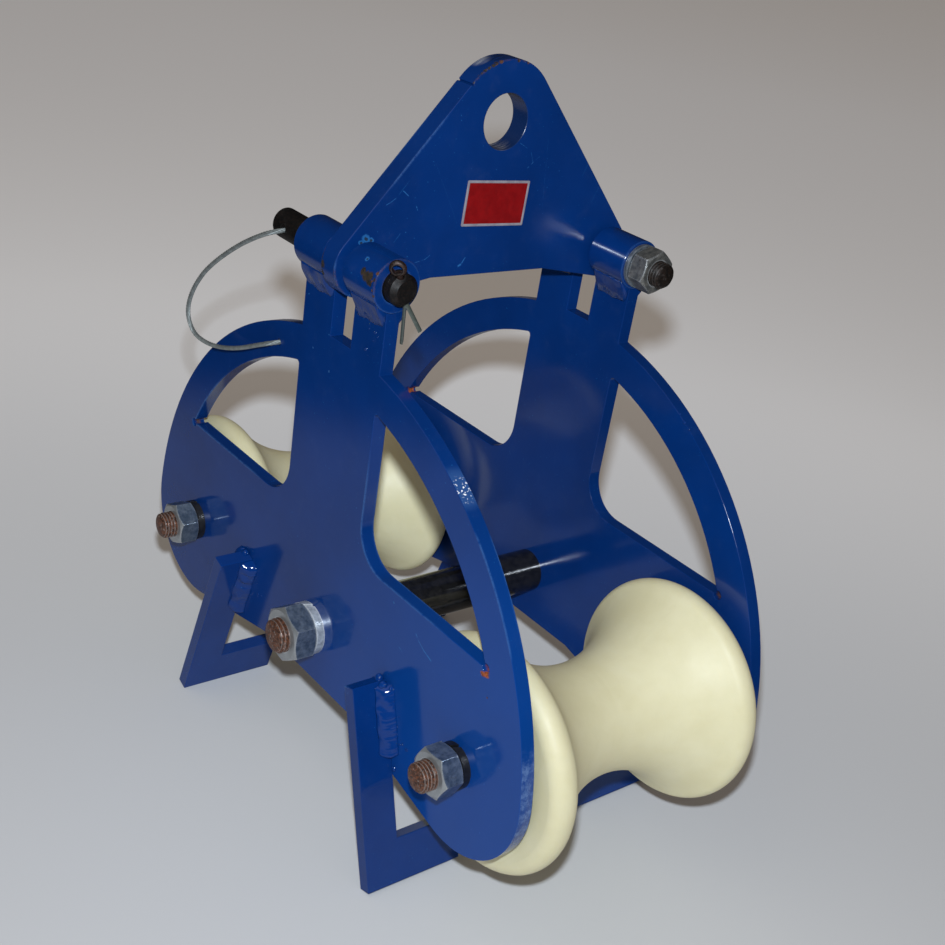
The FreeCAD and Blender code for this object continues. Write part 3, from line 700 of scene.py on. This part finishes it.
drops = spatter("weld_spatter", [
    (Vector((foot_x + 14 * mm, lump_y, axle_z - 12 * mm)), right, up, 7 * mm, 16),
    (Vector((-foot_x + 12 * mm, lump_y, axle_z - 12 * mm)), right, up, 6 * mm, 8),
    (Vector((neck_half - 10 * mm, lump_y, seam_z - 13 * mm)), right, up, 5 * mm, 12),
    (Vector((97.5 * mm, middle_y + inner_face, -137.4 * mm)), down_the_rim, over_the_rim, 3 * mm, 6),
], seed=4)
print("lumps and drops have", len(near_lumps.data.vertices), "and", len(drops.data.vertices), "points")

# %% [markdown]
# ## Bare plate on the hanger
# A thin metal plate is glued to the hanger's outer face, red with a silver border. It is left bare, with
# no lettering. Its outline is a rounded rectangle, and the border stands up as a separate thin frame, so
# that it keeps a clean edge and a finish of its own.

# %% Helper for rounded rectangles
def rounded_loop(width, height, radius, steps=8):
    """Points of a rounded rectangle about the origin, as pairs."""
    loop = []
    for quarter, (sx, sy) in enumerate(((1, 1), (-1, 1), (-1, -1), (1, -1))):
        for step in range(steps + 1):
            angle = math.pi / 2 * (quarter + step / steps)
            loop.append((sx * (width / 2 - radius) + radius * math.cos(angle),
                         sy * (height / 2 - radius) + radius * math.sin(angle)))
    return loop


def on_hanger(pairs, x):
    """Pairs of the label's own drawing, set on the hanger's +X face, slightly turned."""
    turn = math.radians(-1.6)
    centre = Vector((0.0, 1.4 * mm, -40.6 * mm))
    placed = []
    for across, up in pairs:
        y = across * math.cos(turn) - up * math.sin(turn)
        z = across * math.sin(turn) + up * math.cos(turn)
        placed.append(centre + Vector((x, y, z)))
    return placed


# %% Bare plate and its border
hanger_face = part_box("hanger_plate")[1].x
label_width = 40.8 * mm
label_height = 23.2 * mm


def label_ring(inset, corner, rise):
    """The label's outline, set in from its edge and raised over the hanger, all in millimetres."""
    loop = rounded_loop(label_width - 2 * inset * mm, label_height - 2 * inset * mm, corner * mm)
    return on_hanger(loop, hanger_face + rise * mm)


rings = [label_ring(0.0, 0.7, -0.1), label_ring(0.0, 0.7, 0.3), label_ring(0.1, 0.6, 0.38)]
label = sharpen(make_piece("label_plate", [p for r in rings for p in r], join_rings(rings), "hanger"))
border_section = [(-0.05, 0.1), (-0.05, 0.42), (0.1, 0.5), (1.15, 0.5), (1.25, 0.44), (1.25, 0.25)]
border_rings = []
for inset, rise in border_section:
    border_rings.append(label_ring(inset, max(0.3, 0.7 - 0.3 * inset), rise))
count = len(border_rings[0])
border_faces = []
for row in range(len(border_rings)):
    following = (row + 1) % len(border_rings)
    for i in range(count):
        j = (i + 1) % count
        near = row * count
        far = following * count
        border_faces.append((near + i, far + i, far + j, near + j))
border = sharpen(make_piece("label_border", [p for r in border_rings for p in r], border_faces, "hanger"))
print("label", round(label_width / mm, 1), "by", round(label_height / mm, 1), "mm")

# %% [markdown]
# ## Softened edges
# Cut plate and tube ends have edges that the paint rounds off by some tenths of a millimetre, and these
# thin lines catch the light. The CAD solids are left as they are, and modifiers do the rounding: points
# that lie together are welded, flat triangles are merged into whole faces, and a narrow bevel runs
# round each edge. A bevel of three steps with shading weighted by face area keeps the flats flat.

# %% Rounding of edges by modifiers
def soften(piece, width, degrees=34.0, segments=3):
    """Round the sharp edges of a solid without changing its own mesh."""
    weld = piece.modifiers.new("join_points", "WELD")
    weld.merge_threshold = 0.002 * mm
    merge = piece.modifiers.new("whole_faces", "DECIMATE")
    merge.decimate_type = "DISSOLVE"
    merge.angle_limit = math.radians(0.05)
    bevel = piece.modifiers.new("rounded_edges", "BEVEL")
    bevel.width = width
    bevel.segments = segments
    bevel.limit_method = "ANGLE"
    bevel.angle_limit = math.radians(degrees)
    bevel.use_clamp_overlap = True
    weigh = piece.modifiers.new("flat_flats", "WEIGHTED_NORMAL")
    weigh.keep_sharp = True
    return piece


plates = ["near_side_plate", "far_side_plate", "hanger_plate"]
feet = [name for name in solids if name.endswith("_foot")]
tubes = [name for name in solids if name.endswith("_tube") and name.split("_")[0] in ("near", "far")]
for name in plates + feet:
    soften(solids[name], 0.45 * mm)
for name in tubes:
    soften(solids[name], 0.5 * mm)
print("softened", len(plates + feet + tubes), "solids")

# %% [markdown]
# ## Blue enamel
# The frame is sprayed with one coat of glossy blue enamel over bare plate. Up close the gloss has a
# faint orange peel, the colour is a little uneven, dust sticks to it, and it is scratched through to
# pale marks and chipped to rust at a few places. All of it is worked out from the place on the part, so
# each mark stays where it is when the part moves. The general finish is shared, and each piece adds the
# marks that it has, as spots and strokes at points of the frame. The hanger's eye and crown are rubbed
# to bare steel, with a painted reflection low in the eye and a painted highlight on the crown. The near
# plate's rim is scuffed, and the near plate also carries painted light: a painted sheen and painted
# glints on its rim, a paler end where the lamp is nearest, and worn edges that are also painted edge
# highlights.

# %% Helpers for marks in a finish
def spot(finish, place, point, radius, core=0.6):
    """Mask of a soft spot, 1 in its core and 0 outside; point and radius are in millimetres."""
    near = finish.distance(place, tuple(c * mm for c in point))
    return finish.outside(finish.within(near, core * radius * mm, radius * mm))


def stroke(finish, place, start, end, width):
    """Mask of a scratch from start to end, all in millimetres."""
    first = Vector(start) * mm
    run = Vector(end) * mm - first
    gap = finish.vector("SUBTRACT", {0: place, 1: tuple(first)})
    dot = finish.vector("DOT_PRODUCT", {0: gap, 1: tuple(run)}, 1)
    share = finish.add("ShaderNodeMath", 0, {0: dot, 1: 1 / run.length_squared},
                       operation="MULTIPLY", use_clamp=True)
    nearest = finish.vector("SCALE", {0: tuple(run), 3: share})
    off = finish.distance(gap, nearest)
    return finish.outside(finish.within(off, 0.3 * width * mm, width * mm))


def wobbled(finish, size, reach, seed=0.0):
    """The place, pushed about by noise so that spots get ragged outlines."""
    values = {"Vector": finish.place, "Scale": 1 / size, "Detail": 3.0, "W": seed}
    push = finish.add("ShaderNodeTexNoise", 1, values, noise_dimensions="4D")
    push = finish.vector("SUBTRACT", {0: push, 1: (0.5, 0.5, 0.5)})
    push = finish.vector("SCALE", {0: push, 3: 2 * reach})
    return finish.vector("ADD", {0: finish.place, 1: push})


def rust_colour(finish, seed=0.0, dark=(34, 26, 23), middle=(72, 46, 36), bright=(150, 84, 44), orange=0.5):
    """Rust that goes from dark brown through red brown to orange; orange is how much of that shows."""
    broad = finish.patches(2.4 * mm, 0.36, 0.62, seed)
    fine = finish.patches(0.9 * mm, 0.46, 0.72, seed + 5, detail=3.0)
    brown = finish.blend(broad, colour(*dark), colour(*middle))
    return finish.cover(brown, colour(*bright), fine, orange)


def edge_mask(finish, reach):
    """1 at outer edges and 0 on flats, found by looking for the next face from inside the metal."""
    open_share = finish.add("ShaderNodeAmbientOcclusion", 1, {"Distance": reach},
                            inside=True, only_local=True, samples=6)
    return finish.within(finish.outside(open_share), 0.12, 0.5)


# %% Blue enamel
paint_pale = colour(30, 92, 150)
chip_dark = colour(13, 36, 62)


class Marks:
    """Layers of wear, and of painted light where a piece adds it, over a paint, which also note where the
    metal is bare.
    """

    def __init__(self, finish, paint, seed):
        self.finish = finish
        self.paint = paint
        self.bare = 0.0
        self.ragged = wobbled(finish, 2.6 * mm, 1.1 * mm, seed)
        self.edge = None

    def lay(self, mask, tone, bare=1.0, strength=None):
        """Cover the paint with a tone where the mask is 1; bare is how much of it is bare metal."""
        if strength is not None:
            mask = self.finish.times(mask, strength)
        self.paint = self.finish.blend(mask, self.paint, tone)
        self.bare = self.finish.number("MAXIMUM", self.bare, self.finish.times(mask, bare))

    def spots(self, places, shrink=1.0):
        """Mask of ragged spots, each a point and a radius in millimetres."""
        masks = [spot(self.finish, self.ragged, point, radius * shrink) for point, radius in places]
        return self.finish.highest(masks)

    def along_edges(self, places, seed):
        """Mask of the worn stretches of edges that lie within some spots."""
        if self.edge is None:
            self.edge = edge_mask(self.finish, 1.4 * mm)
        patchy = self.finish.patches(2.6 * mm, 0.3, 0.5, seed)
        near_edge = self.finish.times(self.edge, self.spots(places))
        return self.finish.times(near_edge, patchy)


def sprayed(finish, seed):
    """Colour of the enamel: slightly cloudy, with a trace of dust and a few pale specks."""
    cloud = finish.patches(70 * mm, 0.3, 0.7, seed, detail=5.0)
    paint = finish.blend(cloud, colour(3, 38, 92), colour(4, 44, 104))
    dust = finish.patches(9 * mm, 0.5, 0.85, seed + 2, detail=6.0, roughness=0.7)
    paint = finish.cover(paint, colour(150, 168, 190), dust, 0.02)
    specks = finish.patches(0.9 * mm, 0.735, 0.76, seed + 3, detail=1.0, roughness=0.5)
    region = finish.patches(25 * mm, 0.42, 0.6, seed + 4, detail=2.0, roughness=0.5)
    return finish.cover(paint, paint_pale, specks, region)


def blue_enamel(name, seed, scratches=(), worn=(), edges=(), chips=(), black=(), rust=(), orange=(),
                extra=None, shine=0.07):
    """Glossy enamel with its wear.

    Scratches are (start, end, width, strength), and the other marks are (point, radius). extra is a
    function that lays further marks first, and shine is the roughness where nothing is worn.
    """
    finish = Finish(name)
    marks = Marks(finish, sprayed(finish, seed), seed)
    if extra:
        extra(finish, marks)
    for start, end, width, strength in scratches:
        line = stroke(finish, wobbled(finish, 4 * mm, 0.5 * mm, seed), start, end, width)
        skips = finish.patches(1.3 * mm, 0.34, 0.52, seed + 6, detail=2.0, roughness=0.5)
        broken_line = finish.times(line, skips)
        marks.lay(broken_line, paint_pale, bare=0.3, strength=strength)
    if worn:
        rubbed = marks.along_edges(worn, seed + 7)
        marks.lay(rubbed, colour(70, 112, 160), bare=0.3, strength=0.6)
    if edges:
        edge_rust = rust_colour(finish, seed + 8, (18, 20, 20), (62, 44, 30))
        marks.lay(marks.along_edges(edges, seed + 8), edge_rust)
    if chips:
        marks.lay(marks.spots(chips), paint_pale, bare=0.4)
        marks.lay(marks.spots(chips, shrink=0.5), chip_dark)
    for places, tones in ((black, ((16, 19, 20), (44, 36, 26), (84, 58, 34))),
                          (rust, ((34, 26, 22), (82, 50, 34), (136, 78, 40))),
                          (orange, ((96, 44, 18), (150, 70, 20), (196, 104, 32)))):
        if places:
            marks.lay(marks.spots(places), rust_colour(finish, seed + 1, *tones))
    gloss = finish.uneven(shine, 0.1, 14 * mm, seed + 9, detail=3.0)
    gloss = finish.plus(gloss, finish.times(marks.bare, 0.5))
    normal = finish.relief(2.6 * mm, 0.018 * mm, seed + 10, detail=1.5, roughness=0.5)
    normal = finish.bump(finish.outside(marks.bare), 0.12 * mm, normal)
    return finish.set(Base_Color=marks.paint, Roughness=gloss, Normal=normal)


def dress(node, material):
    """Give a CAD solid its finish through its own material slot."""
    for material_slot in solids[node].material_slots:
        material_slot.link = "OBJECT"
        material_slot.material = material


def paint_piece(piece, material):
    """Give a piece made here its finish."""
    piece.data.materials.clear()
    piece.data.materials.append(material)


print("slots of a plate", len(solids["near_side_plate"].material_slots))

# %% Burnished rims of the hanger, with painted reflection and highlight
def burnished_rims_and_painted_reflection(finish, marks):
    """Rubbed bare steel in the eye and crown, with streaks of painted reflection low in the bore and a
    painted highlight.
    """
    flat = finish.vector("MULTIPLY", {0: finish.place, 1: (0.0, 1.0, 1.0)})
    radius = finish.vector("LENGTH", {0: flat}, 1)
    squeezed = finish.vector("MULTIPLY", {0: finish.place, 1: (6.0, 0.5, 0.5)})
    streaks = finish.patches(7 * mm, 0.38, 0.66, 2.0, place=squeezed)
    bore = finish.outside(finish.within(radius, 13.9 * mm, 14.25 * mm))
    # Painted reflection: low in the bore the streaks are painted pale, over the dark rubbed steel.
    below_eye = finish.distance(finish.place, (-2 * mm, -3 * mm, -13.5 * mm))
    low = finish.outside(finish.within(below_eye, 4 * mm, 13 * mm))
    steel = finish.blend(finish.times(streaks, low), colour(14, 34, 66), colour(176, 172, 168))
    marks.lay(bore, steel, bare=0.2, strength=0.75)
    crown = finish.within(radius, 29.6 * mm, 29.85 * mm)
    # Painted highlight: the pale band on the crown's top. The dark patch beside it is a darker colour on
    # the rubbed paint.
    painted_highlight_place = ((-5, -13, 27.0), 6.5, colour(150, 154, 160))
    dark_place = ((-1, -7.0, 29.0), 7.0, colour(14, 22, 34))
    for point, reach, tone in (painted_highlight_place, dark_place):
        near = spot(finish, finish.place, point, reach, core=0.4)
        share = finish.times(finish.plus(finish.times(streaks, 0.7), 0.1), near)
        marks.lay(crown, tone, bare=0.3, strength=share)


# %% Painted light and scuffs on the near plate
def near_plate_wear_and_painted_light(finish, marks):
    """Painted light at the end nearest the lamp, a painted sheen and painted glints on the rim, and real
    scuffs.
    """
    # Painted light: the end nearest the lamp is painted a paler blue.
    from_painted_bright_end = finish.distance(finish.place, (0.175, -0.081, -0.3))
    mask = finish.outside(finish.within(from_painted_bright_end, 0.05, 0.23))
    marks.lay(mask, colour(10, 66, 140), bare=0.0, strength=0.5)
    on_rim = finish.outside(finish.within(finish.facing(1), 0.2, 0.6))
    # Painted reflection: this pale blue patch on the rim is a painted sheen, not rubbed paint.
    rubbed = finish.times(on_rim, spot(finish, finish.place, (108.5, -77.5, -137.0), 15.0))
    marks.lay(rubbed, colour(84, 126, 176), bare=0.1, strength=0.22)
    # Painted highlight: near-white glints are painted on the rim as small flecks.
    painted_glints = finish.patches(1.1 * mm, 0.57, 0.62, 4.0, detail=1.0, roughness=0.5)
    bright = finish.times(on_rim, spot(finish, finish.place, (109.5, -77.5, -137.8), 10.5))
    marks.lay(bright, colour(236, 238, 240), bare=0.1, strength=painted_glints)
    scuffed = finish.times(on_rim, spot(finish, finish.place, (189.0, -78.0, -273.0), 34.0))
    patches = finish.patches(4 * mm, 0.42, 0.72, 6.0, detail=6.0, roughness=0.75)
    scuffs = finish.times(scuffed, patches)
    marks.lay(scuffs, colour(120, 150, 190), bare=0.2, strength=0.5)


# %% Enamel of each painted solid
gouge_x = 146.3
gouge_z = -216.9
near_marks = blue_enamel(
    "near_plate_enamel", 1.0, extra=near_plate_wear_and_painted_light,
    orange=[((gouge_x, -77, gouge_z), 3.4), ((147.4, -80.5, -219.4), 2.6), ((145.0, -80.5, -220.8), 1.9)],
    rust=[((-gouge_x, -77, gouge_z), 3.4), ((150.8, -81, -231.0), 0.7)],
    chips=[((45, -81, -108.9), 0.8), ((-32.3, -81, -95.7), 0.6), ((-7.3, -81, -128.2), 0.7),
           ((-24.0, -81, -121.5), 0.6), ((-10.5, -81, -109.9), 0.7), ((71.6, -81, -223.4), 0.7)],
    scratches=[((92.4, -81, -229.8), (95.7, -81, -232.6), 0.4, 0.8),
               ((95.7, -81, -232.6), (100.5, -81, -235.1), 0.35, 0.9),
               ((100.5, -81, -235.1), (107.0, -81, -237.1), 0.5, 1.0),
               ((80.7, -81, -244.8), (84.0, -81, -246.0), 0.3, 0.7)],
    # The worn edges round (136, -166) and (152, -188) on the rim are painted edge highlights as well as
    # wear.
    worn=[((60, -81, -205), 60.0), ((-110, -81, -215), 50.0), ((136, -81, -166), 18.0),
          ((152, -81, -188), 20.0)])
far_marks = blue_enamel(
    "far_plate_enamel", 11.0,
    orange=[((-gouge_x, 85, gouge_z), 4.2)], rust=[((gouge_x, 85, gouge_z), 3.4)])
hanger_marks = blue_enamel(
    "hanger_enamel", 21.0, extra=burnished_rims_and_painted_reflection, shine=0.15,
    chips=[((6, -76.5, -55.2), 2.8), ((6, -73.4, -56.2), 1.8), ((6, -79.2, -57.0), 1.6)],
    black=[((6, -24.1, 18.6), 1.0), ((6, -20.2, 23.4), 1.7), ((6, -18.0, 24.4), 1.6),
           ((6, -15.5, 25.3), 1.1), ((5, -21.8, 22.0), 1.2), ((6, -13.0, 26.6), 1.2),
           ((5, -11.0, 27.4), 1.4), ((-6, -94.3, -65.5), 2.6), ((-5, -94.0, -70.0), 2.8),
           ((-6, -92.4, -74.6), 2.4)],
    rust=[((6, -11.6, 27.2), 0.8), ((6, -8.6, 28.4), 1.3), ((6, 2.1, 29.2), 0.9),
          ((6, 8.3, 28.4), 0.8), ((-5, -95.0, -62.0), 1.8)],
    edges=[((6, -14, 26), 14.0), ((6, 5, 29), 6.0), ((-6, -92, -70), 12.0), ((6, -92, -77), 9.0)],
    worn=[((6, -91.7, -75.1), 12.0), ((6, -85, -83.9), 8.0), ((6, -50, -15), 26.0)],
    scratches=[((6, -57.6, -32.7), (6, -54.2, -35.3), 0.35, 0.8),
               ((6, -66.9, -39.1), (6, -61.5, -36.2), 0.3, 0.6),
               ((6, -61.5, -36.2), (6, -55.0, -28.0), 0.22, 0.4),
               ((6, -49.0, -39.7), (6, -47.8, -42.2), 0.35, 0.8),
               ((6, -56.6, -53.6), (6, -59.8, -57.9), 0.25, 0.5),
               ((6, -45.2, -68.9), (6, -39.1, -67.7), 0.25, 0.6),
               ((6, -39.1, -67.7), (6, -36.3, -65.5), 0.25, 0.6),
               ((6, 11.6, -10.4), (6, 17.0, -13.2), 0.25, 0.5),
               ((6, 19.9, -15.2), (6, 22.3, -20.3), 0.22, 0.45),
               ((6, 22.3, -20.3), (6, 19.1, -23.0), 0.28, 0.6),
               ((6, 22.3, -20.3), (6, 26.3, -17.1), 0.2, 0.4),
               ((6, 61.1, -22.2), (6, 59.0, -28.0), 0.2, 0.35),
               ((6, 73.2, -33.2), (6, 69.0, -42.6), 0.2, 0.35),
               ((6, -17.5, -72.5), (6, -15.4, -71.4), 0.7, 1.0),
               ((6, -15.4, -71.4), (6, -13.4, -68.2), 0.4, 1.0),
               ((6, 30, -8), (6, 34, -44), 0.16, 0.3),
               ((6, -40, -20), (6, -22, -50), 0.14, 0.25)])
tube_marks = blue_enamel(
    "tube_enamel", 31.0,
    chips=[((22.5, -86.1, -59.0), 1.6)],
    black=[((25.0, -89.6, -64.0), 2.4), ((28.2, -90.0, -65.3), 3.2), ((31.0, -89.8, -64.4), 2.6),
           ((30.5, -90.2, -66.8), 2.3), ((32.6, -90.2, -67.4), 1.6), ((34.8, -90.0, -65.1), 1.1)],
    rust=[((33.4, -90.4, -66.2), 1.0), ((34.6, -90.3, -70.0), 0.9), ((35.6, -90.0, -72.6), 0.9),
          ((35.1, -88.5, -62.0), 1.2)],
    edges=[((36, -90.0, -66.0), 9.0), ((36, -83.5, -57.4), 8.0), ((36, -75.0, -55.5), 5.0),
           ((-36, -86, -60.0), 3.0)],
    worn=[((36, -77, -68.9), 17.0), ((-36, -77, -68.9), 15.0), ((36, 85, -68.9), 17.0)])
foot_marks = blue_enamel("foot_enamel", 41.0, chips=[((70, -100.5, -273.9), 1.8)],
                         worn=[((66, -100, -270.9), 6.0)])
weld_marks = blue_enamel("weld_enamel", 51.0)
dress("near_side_plate", near_marks)
dress("far_side_plate", far_marks)
dress("hanger_plate", hanger_marks)
for name in tubes:
    dress(name, tube_marks)
for name in feet:
    dress(name, foot_marks)
for piece in welds + foot_welds + [near_lumps, drops]:
    paint_piece(piece, weld_marks)
print("enamelled solids", len(plates + tubes + feet))

# %% [markdown]
# ## Cast nylon
# The rollers are turned from cast nylon, which is cream and lets a little light into its skin. The
# lathe leaves very fine rings round the axis, and handling leaves faint marks. A little subsurface
# light softens the edges of shadows, as it does in the real plastic. The rings depend only on the place
# along the axle, so they stay true as a roller turns.

# %% Cream nylon
def lathe_rings(finish, spacing, detail):
    """Noise that changes only along the axle, with rings about this far apart in metres."""
    values = {"W": finish.times(finish.along(1), 1 / spacing), "Scale": 1.0, "Detail": detail}
    return finish.add("ShaderNodeTexNoise", 0, values, noise_dimensions="1D")


def cream_nylon(name, seed):
    """Turned nylon with fine lathe rings and faint marks."""
    finish = Finish(name)
    rings = lathe_rings(finish, 0.9 * mm, 3.0)
    mottle = finish.patches(30 * mm, 0.3, 0.72, seed, detail=5.0)
    skin = finish.blend(mottle, colour(197, 189, 151), colour(205, 198, 163))
    handled = finish.patches(5 * mm, 0.6, 0.82, seed + 1, detail=6.0, roughness=0.75)
    skin = finish.cover(skin, colour(170, 160, 128), handled, 0.16)
    gloss = finish.uneven(0.44, 0.2, 6 * mm, seed + 2)
    normal = finish.bump(rings, 0.02 * mm)
    return finish.set(Base_Color=skin, Roughness=gloss, Normal=normal, Subsurface_Weight=0.25,
                      Subsurface_Radius=(1.0, 0.85, 0.55), Subsurface_Scale=4 * mm)


dress("left_roller", cream_nylon("left_roller_nylon", 2.0))
dress("right_roller", cream_nylon("right_roller_nylon", 8.0))
print("nylon rollers dressed")

# %% [markdown]
# ## Zinc, black steel and rust
# Nuts, the other washers and the wire are zinc plated: dull blue-grey flats, brighter where spanners
# have rubbed the corners, with darker dirt in between. The nuts' ends get a painted highlight: they are
# painted brighter than the flats. The studs, the hanger bolt, the hinge pin and its split pin have lost
# their coating and are brown with rust, which is rough, uneven and only slightly metallic. The spring
# washers of the roller axles are blackened, and the spacer tube is enamelled black. Each is one
# function of a few noises, and an edge mask finds the worn corners.

# %% Zinc plated steel
def zinc_steel(name, seed, tint=(94, 110, 126), bright=(142, 154, 164), dirt=0.55, metallic=0.8,
               shine=0.2, worn=0.9, ends=None):
    """Zinc plating with dirt, bright at worn corners, with a painted highlight on the ends along an axis
    (0, 1 or 2).
    """
    finish = Finish(name)
    mottle = finish.patches(3.2 * mm, 0.32, 0.68, seed)
    metal = finish.blend(mottle, colour(*tint), colour(*bright))
    dirty = finish.patches(1.9 * mm, 0.52, 0.76, seed + 1, detail=5.0, roughness=0.7)
    metal = finish.cover(metal, colour(62, 54, 46), dirty, dirt)
    if ends is not None:
        # Painted highlight: faces that look along the axis are painted bright silver.
        painted_highlight_end_faces = finish.within(finish.facing(ends), 0.35, 0.6)
        metal = finish.cover(metal, colour(206, 206, 202), painted_highlight_end_faces, 0.6)
    corners = finish.within(edge_mask(finish, 1.3 * mm), 0.1, 0.9)
    metal = finish.cover(metal, colour(228, 230, 230), corners, worn)
    gloss = finish.uneven(shine, 0.3, 2.0 * mm, seed + 2)
    normal = finish.relief(0.8 * mm, 0.03 * mm, seed + 3)
    return finish.set(Base_Color=metal, Metallic=metallic, Roughness=gloss, Normal=normal)


# %% Rusty, dark and black steel
def rusty_steel(name, seed, dark, middle, bright, orange, shine, bare, low=None):
    """Rusty steel in three browns; orange and bare are how much of the brightest and of bare metal shows.

    low is a height in millimetres and a colour that takes over below it.
    """
    finish = Finish(name)
    rust = rust_colour(finish, seed, dark, middle, bright, orange)
    if low:
        height, low_colour = low
        above = finish.within(finish.along(2), (height - 3) * mm, (height + 3) * mm)
        rust = finish.blend(above, finish.blend(0.25, low_colour, rust), rust)
    rubbed = finish.patches(1.7 * mm, 0.52, 0.72, seed + 7, roughness=0.65)
    rubbed = finish.number("MAXIMUM", finish.times(edge_mask(finish, 0.7 * mm), 0.8), rubbed)
    rust = finish.cover(rust, colour(176, 170, 164), rubbed, bare)
    gloss = finish.uneven(shine, 0.3, 1.4 * mm, seed + 1, detail=3.0)
    normal = finish.relief(0.7 * mm, 0.05 * mm, seed + 2)
    return finish.set(Base_Color=rust, Metallic=0.45, Roughness=gloss, Normal=normal)


def black_steel(name, seed, shine=0.3):
    """Blackened steel with a trace of oil, or black enamel when shine is low."""
    finish = Finish(name)
    mottle = finish.patches(4 * mm, 0.3, 0.7, seed)
    metal = finish.blend(mottle, colour(15, 15, 16), colour(30, 29, 29))
    gloss = finish.uneven(shine, 0.15, 5 * mm, seed + 1, detail=3.0)
    normal = finish.relief(1.8 * mm, 0.03 * mm, seed + 2, detail=3.0, roughness=0.55)
    return finish.set(Base_Color=metal, Roughness=gloss, Normal=normal)


def ground_steel(name, seed):
    """Clean bearing or tube steel with fine turned rings."""
    finish = Finish(name)
    rings = lathe_rings(finish, 0.4 * mm, 2.0)
    metal = finish.blend(rings, colour(150, 152, 154), colour(190, 190, 190))
    gloss = finish.plus(0.2, finish.times(rings, 0.2))
    normal = finish.bump(rings, 0.01 * mm)
    return finish.set(Base_Color=metal, Metallic=1.0, Roughness=gloss, Normal=normal)


# %% Finishes of the small pieces
# The nuts' ends along Y get the painted highlight.
nut_zinc = zinc_steel("nut_zinc", 3.0, ends=1)
washer_zinc = zinc_steel("washer_zinc", 6.0, (150, 156, 162), (196, 202, 206), dirt=0.3, metallic=0.5)
sleeve_zinc = zinc_steel("sleeve_zinc", 9.0)
wire_zinc = zinc_steel("wire_zinc", 16.0, (84, 90, 88), (128, 134, 130), dirt=0.5, metallic=0.6,
                       shine=0.35, worn=0.12)
hanger_nut_zinc = zinc_steel("hanger_nut_zinc", 23.0, (92, 94, 94), (136, 134, 128), dirt=0.9,
                             metallic=0.7, shine=0.3)
hanger_washer_zinc = zinc_steel("hanger_washer_zinc", 27.0, (84, 92, 100), (126, 134, 142), dirt=0.6,
                                metallic=0.7, shine=0.3, worn=0.25)
bearing_steel = ground_steel("bearing_steel", 4.0)
washer_black = black_steel("washer_black", 5.0)
spacer_enamel = black_steel("spacer_black_enamel", 7.0, shine=0.1)
pin_rust = rusty_steel("pin_rust", 12.0, (7, 6, 6), (18, 14, 12), (52, 34, 26),
                       orange=0.5, shine=0.42, bare=0.03)
split_rust = rusty_steel("split_pin_rust", 14.0, (26, 18, 15), (52, 34, 28), (86, 56, 42),
                         orange=0.5, shine=0.34, bare=0.12, low=(-73.0, colour(90, 100, 93)))
bolt_rust = rusty_steel("hanger_bolt_dark", 15.0, (16, 14, 12), (34, 25, 20), (62, 42, 32),
                        orange=0.5, shine=0.35, bare=0.12)
print("finishes", len(bpy.data.materials))

# %% Dress the small pieces
small_finishes = {
    "roller_nuts": nut_zinc, "centre_nut": nut_zinc, "hanger_nut": hanger_nut_zinc,
    "roller_spring_washers": washer_black, "centre_spring_washer": washer_zinc,
    "hanger_washer": hanger_washer_zinc, "centre_spacer_tube": spacer_enamel,
    "left_distance_tube": sleeve_zinc, "right_distance_tube": sleeve_zinc,
    "roller_sleeves": sleeve_zinc, "hinge_pin": pin_rust, "split_pin": split_rust,
    "lanyard_ferrules": wire_zinc}
for name in solids:
    if "bearing" in name:
        dress(name, bearing_steel)
for name, material in small_finishes.items():
    dress(name, material)
for name in ("roller_nuts", "centre_nut", "hanger_nut"):
    soften(solids[name], 0.25 * mm, degrees=28.0, segments=2)
for name in ("roller_spring_washers", "centre_spring_washer", "hanger_washer"):
    soften(solids[name], 0.3 * mm, degrees=40.0, segments=2)
paint_piece(lanyard, wire_zinc)
for piece, seed in zip(screws, (1.0, 2.0, 3.0)):
    rust = rusty_steel(piece.name + "_rust", seed, (54, 38, 32), (96, 66, 52), (164, 96, 58),
                       orange=0.6, shine=0.28, bare=0.6)
    paint_piece(piece, rust)
paint_piece(hanger_bolt, bolt_rust)
print("small solids dressed", len(small_finishes))

# %% [markdown]
# ## Finish of the bare plate
# The plate's face is glossy red print on thin metal, with a silver border. Handling has dulled it in
# places, so its roughness is uneven and its red a little cloudy.

# %% Red face and silver border
def label_finish(name, dark, light, shine, seed):
    """Glossy print, slightly cloudy."""
    finish = Finish(name)
    cloud = finish.patches(5 * mm, 0.3, 0.7, seed, detail=5.0, roughness=0.65)
    gloss = finish.uneven(shine, 0.15, 3 * mm, seed + 1)
    face = finish.blend(cloud, dark, light)
    return finish.set(Base_Color=face, Roughness=gloss, Normal=finish.bump(cloud, 0.02 * mm))


red = label_finish("label_red", colour(112, 4, 8), colour(130, 7, 11), shine=0.25, seed=1.0)
silver = label_finish("label_silver", colour(118, 112, 120), colour(138, 134, 140), shine=0.35, seed=2.0)
paint_piece(label, red)
paint_piece(border, silver)
print("label dressed")

# %% [markdown]
# ## Box of the CAD model
# The CAD model's box was kept when the solids were loaded, and the last line prints it in millimetres.

# %% The CAD model's box
print("CAD box in mm", [round((b - a) / mm, 1) for a, b in zip(cad_low, cad_high)])
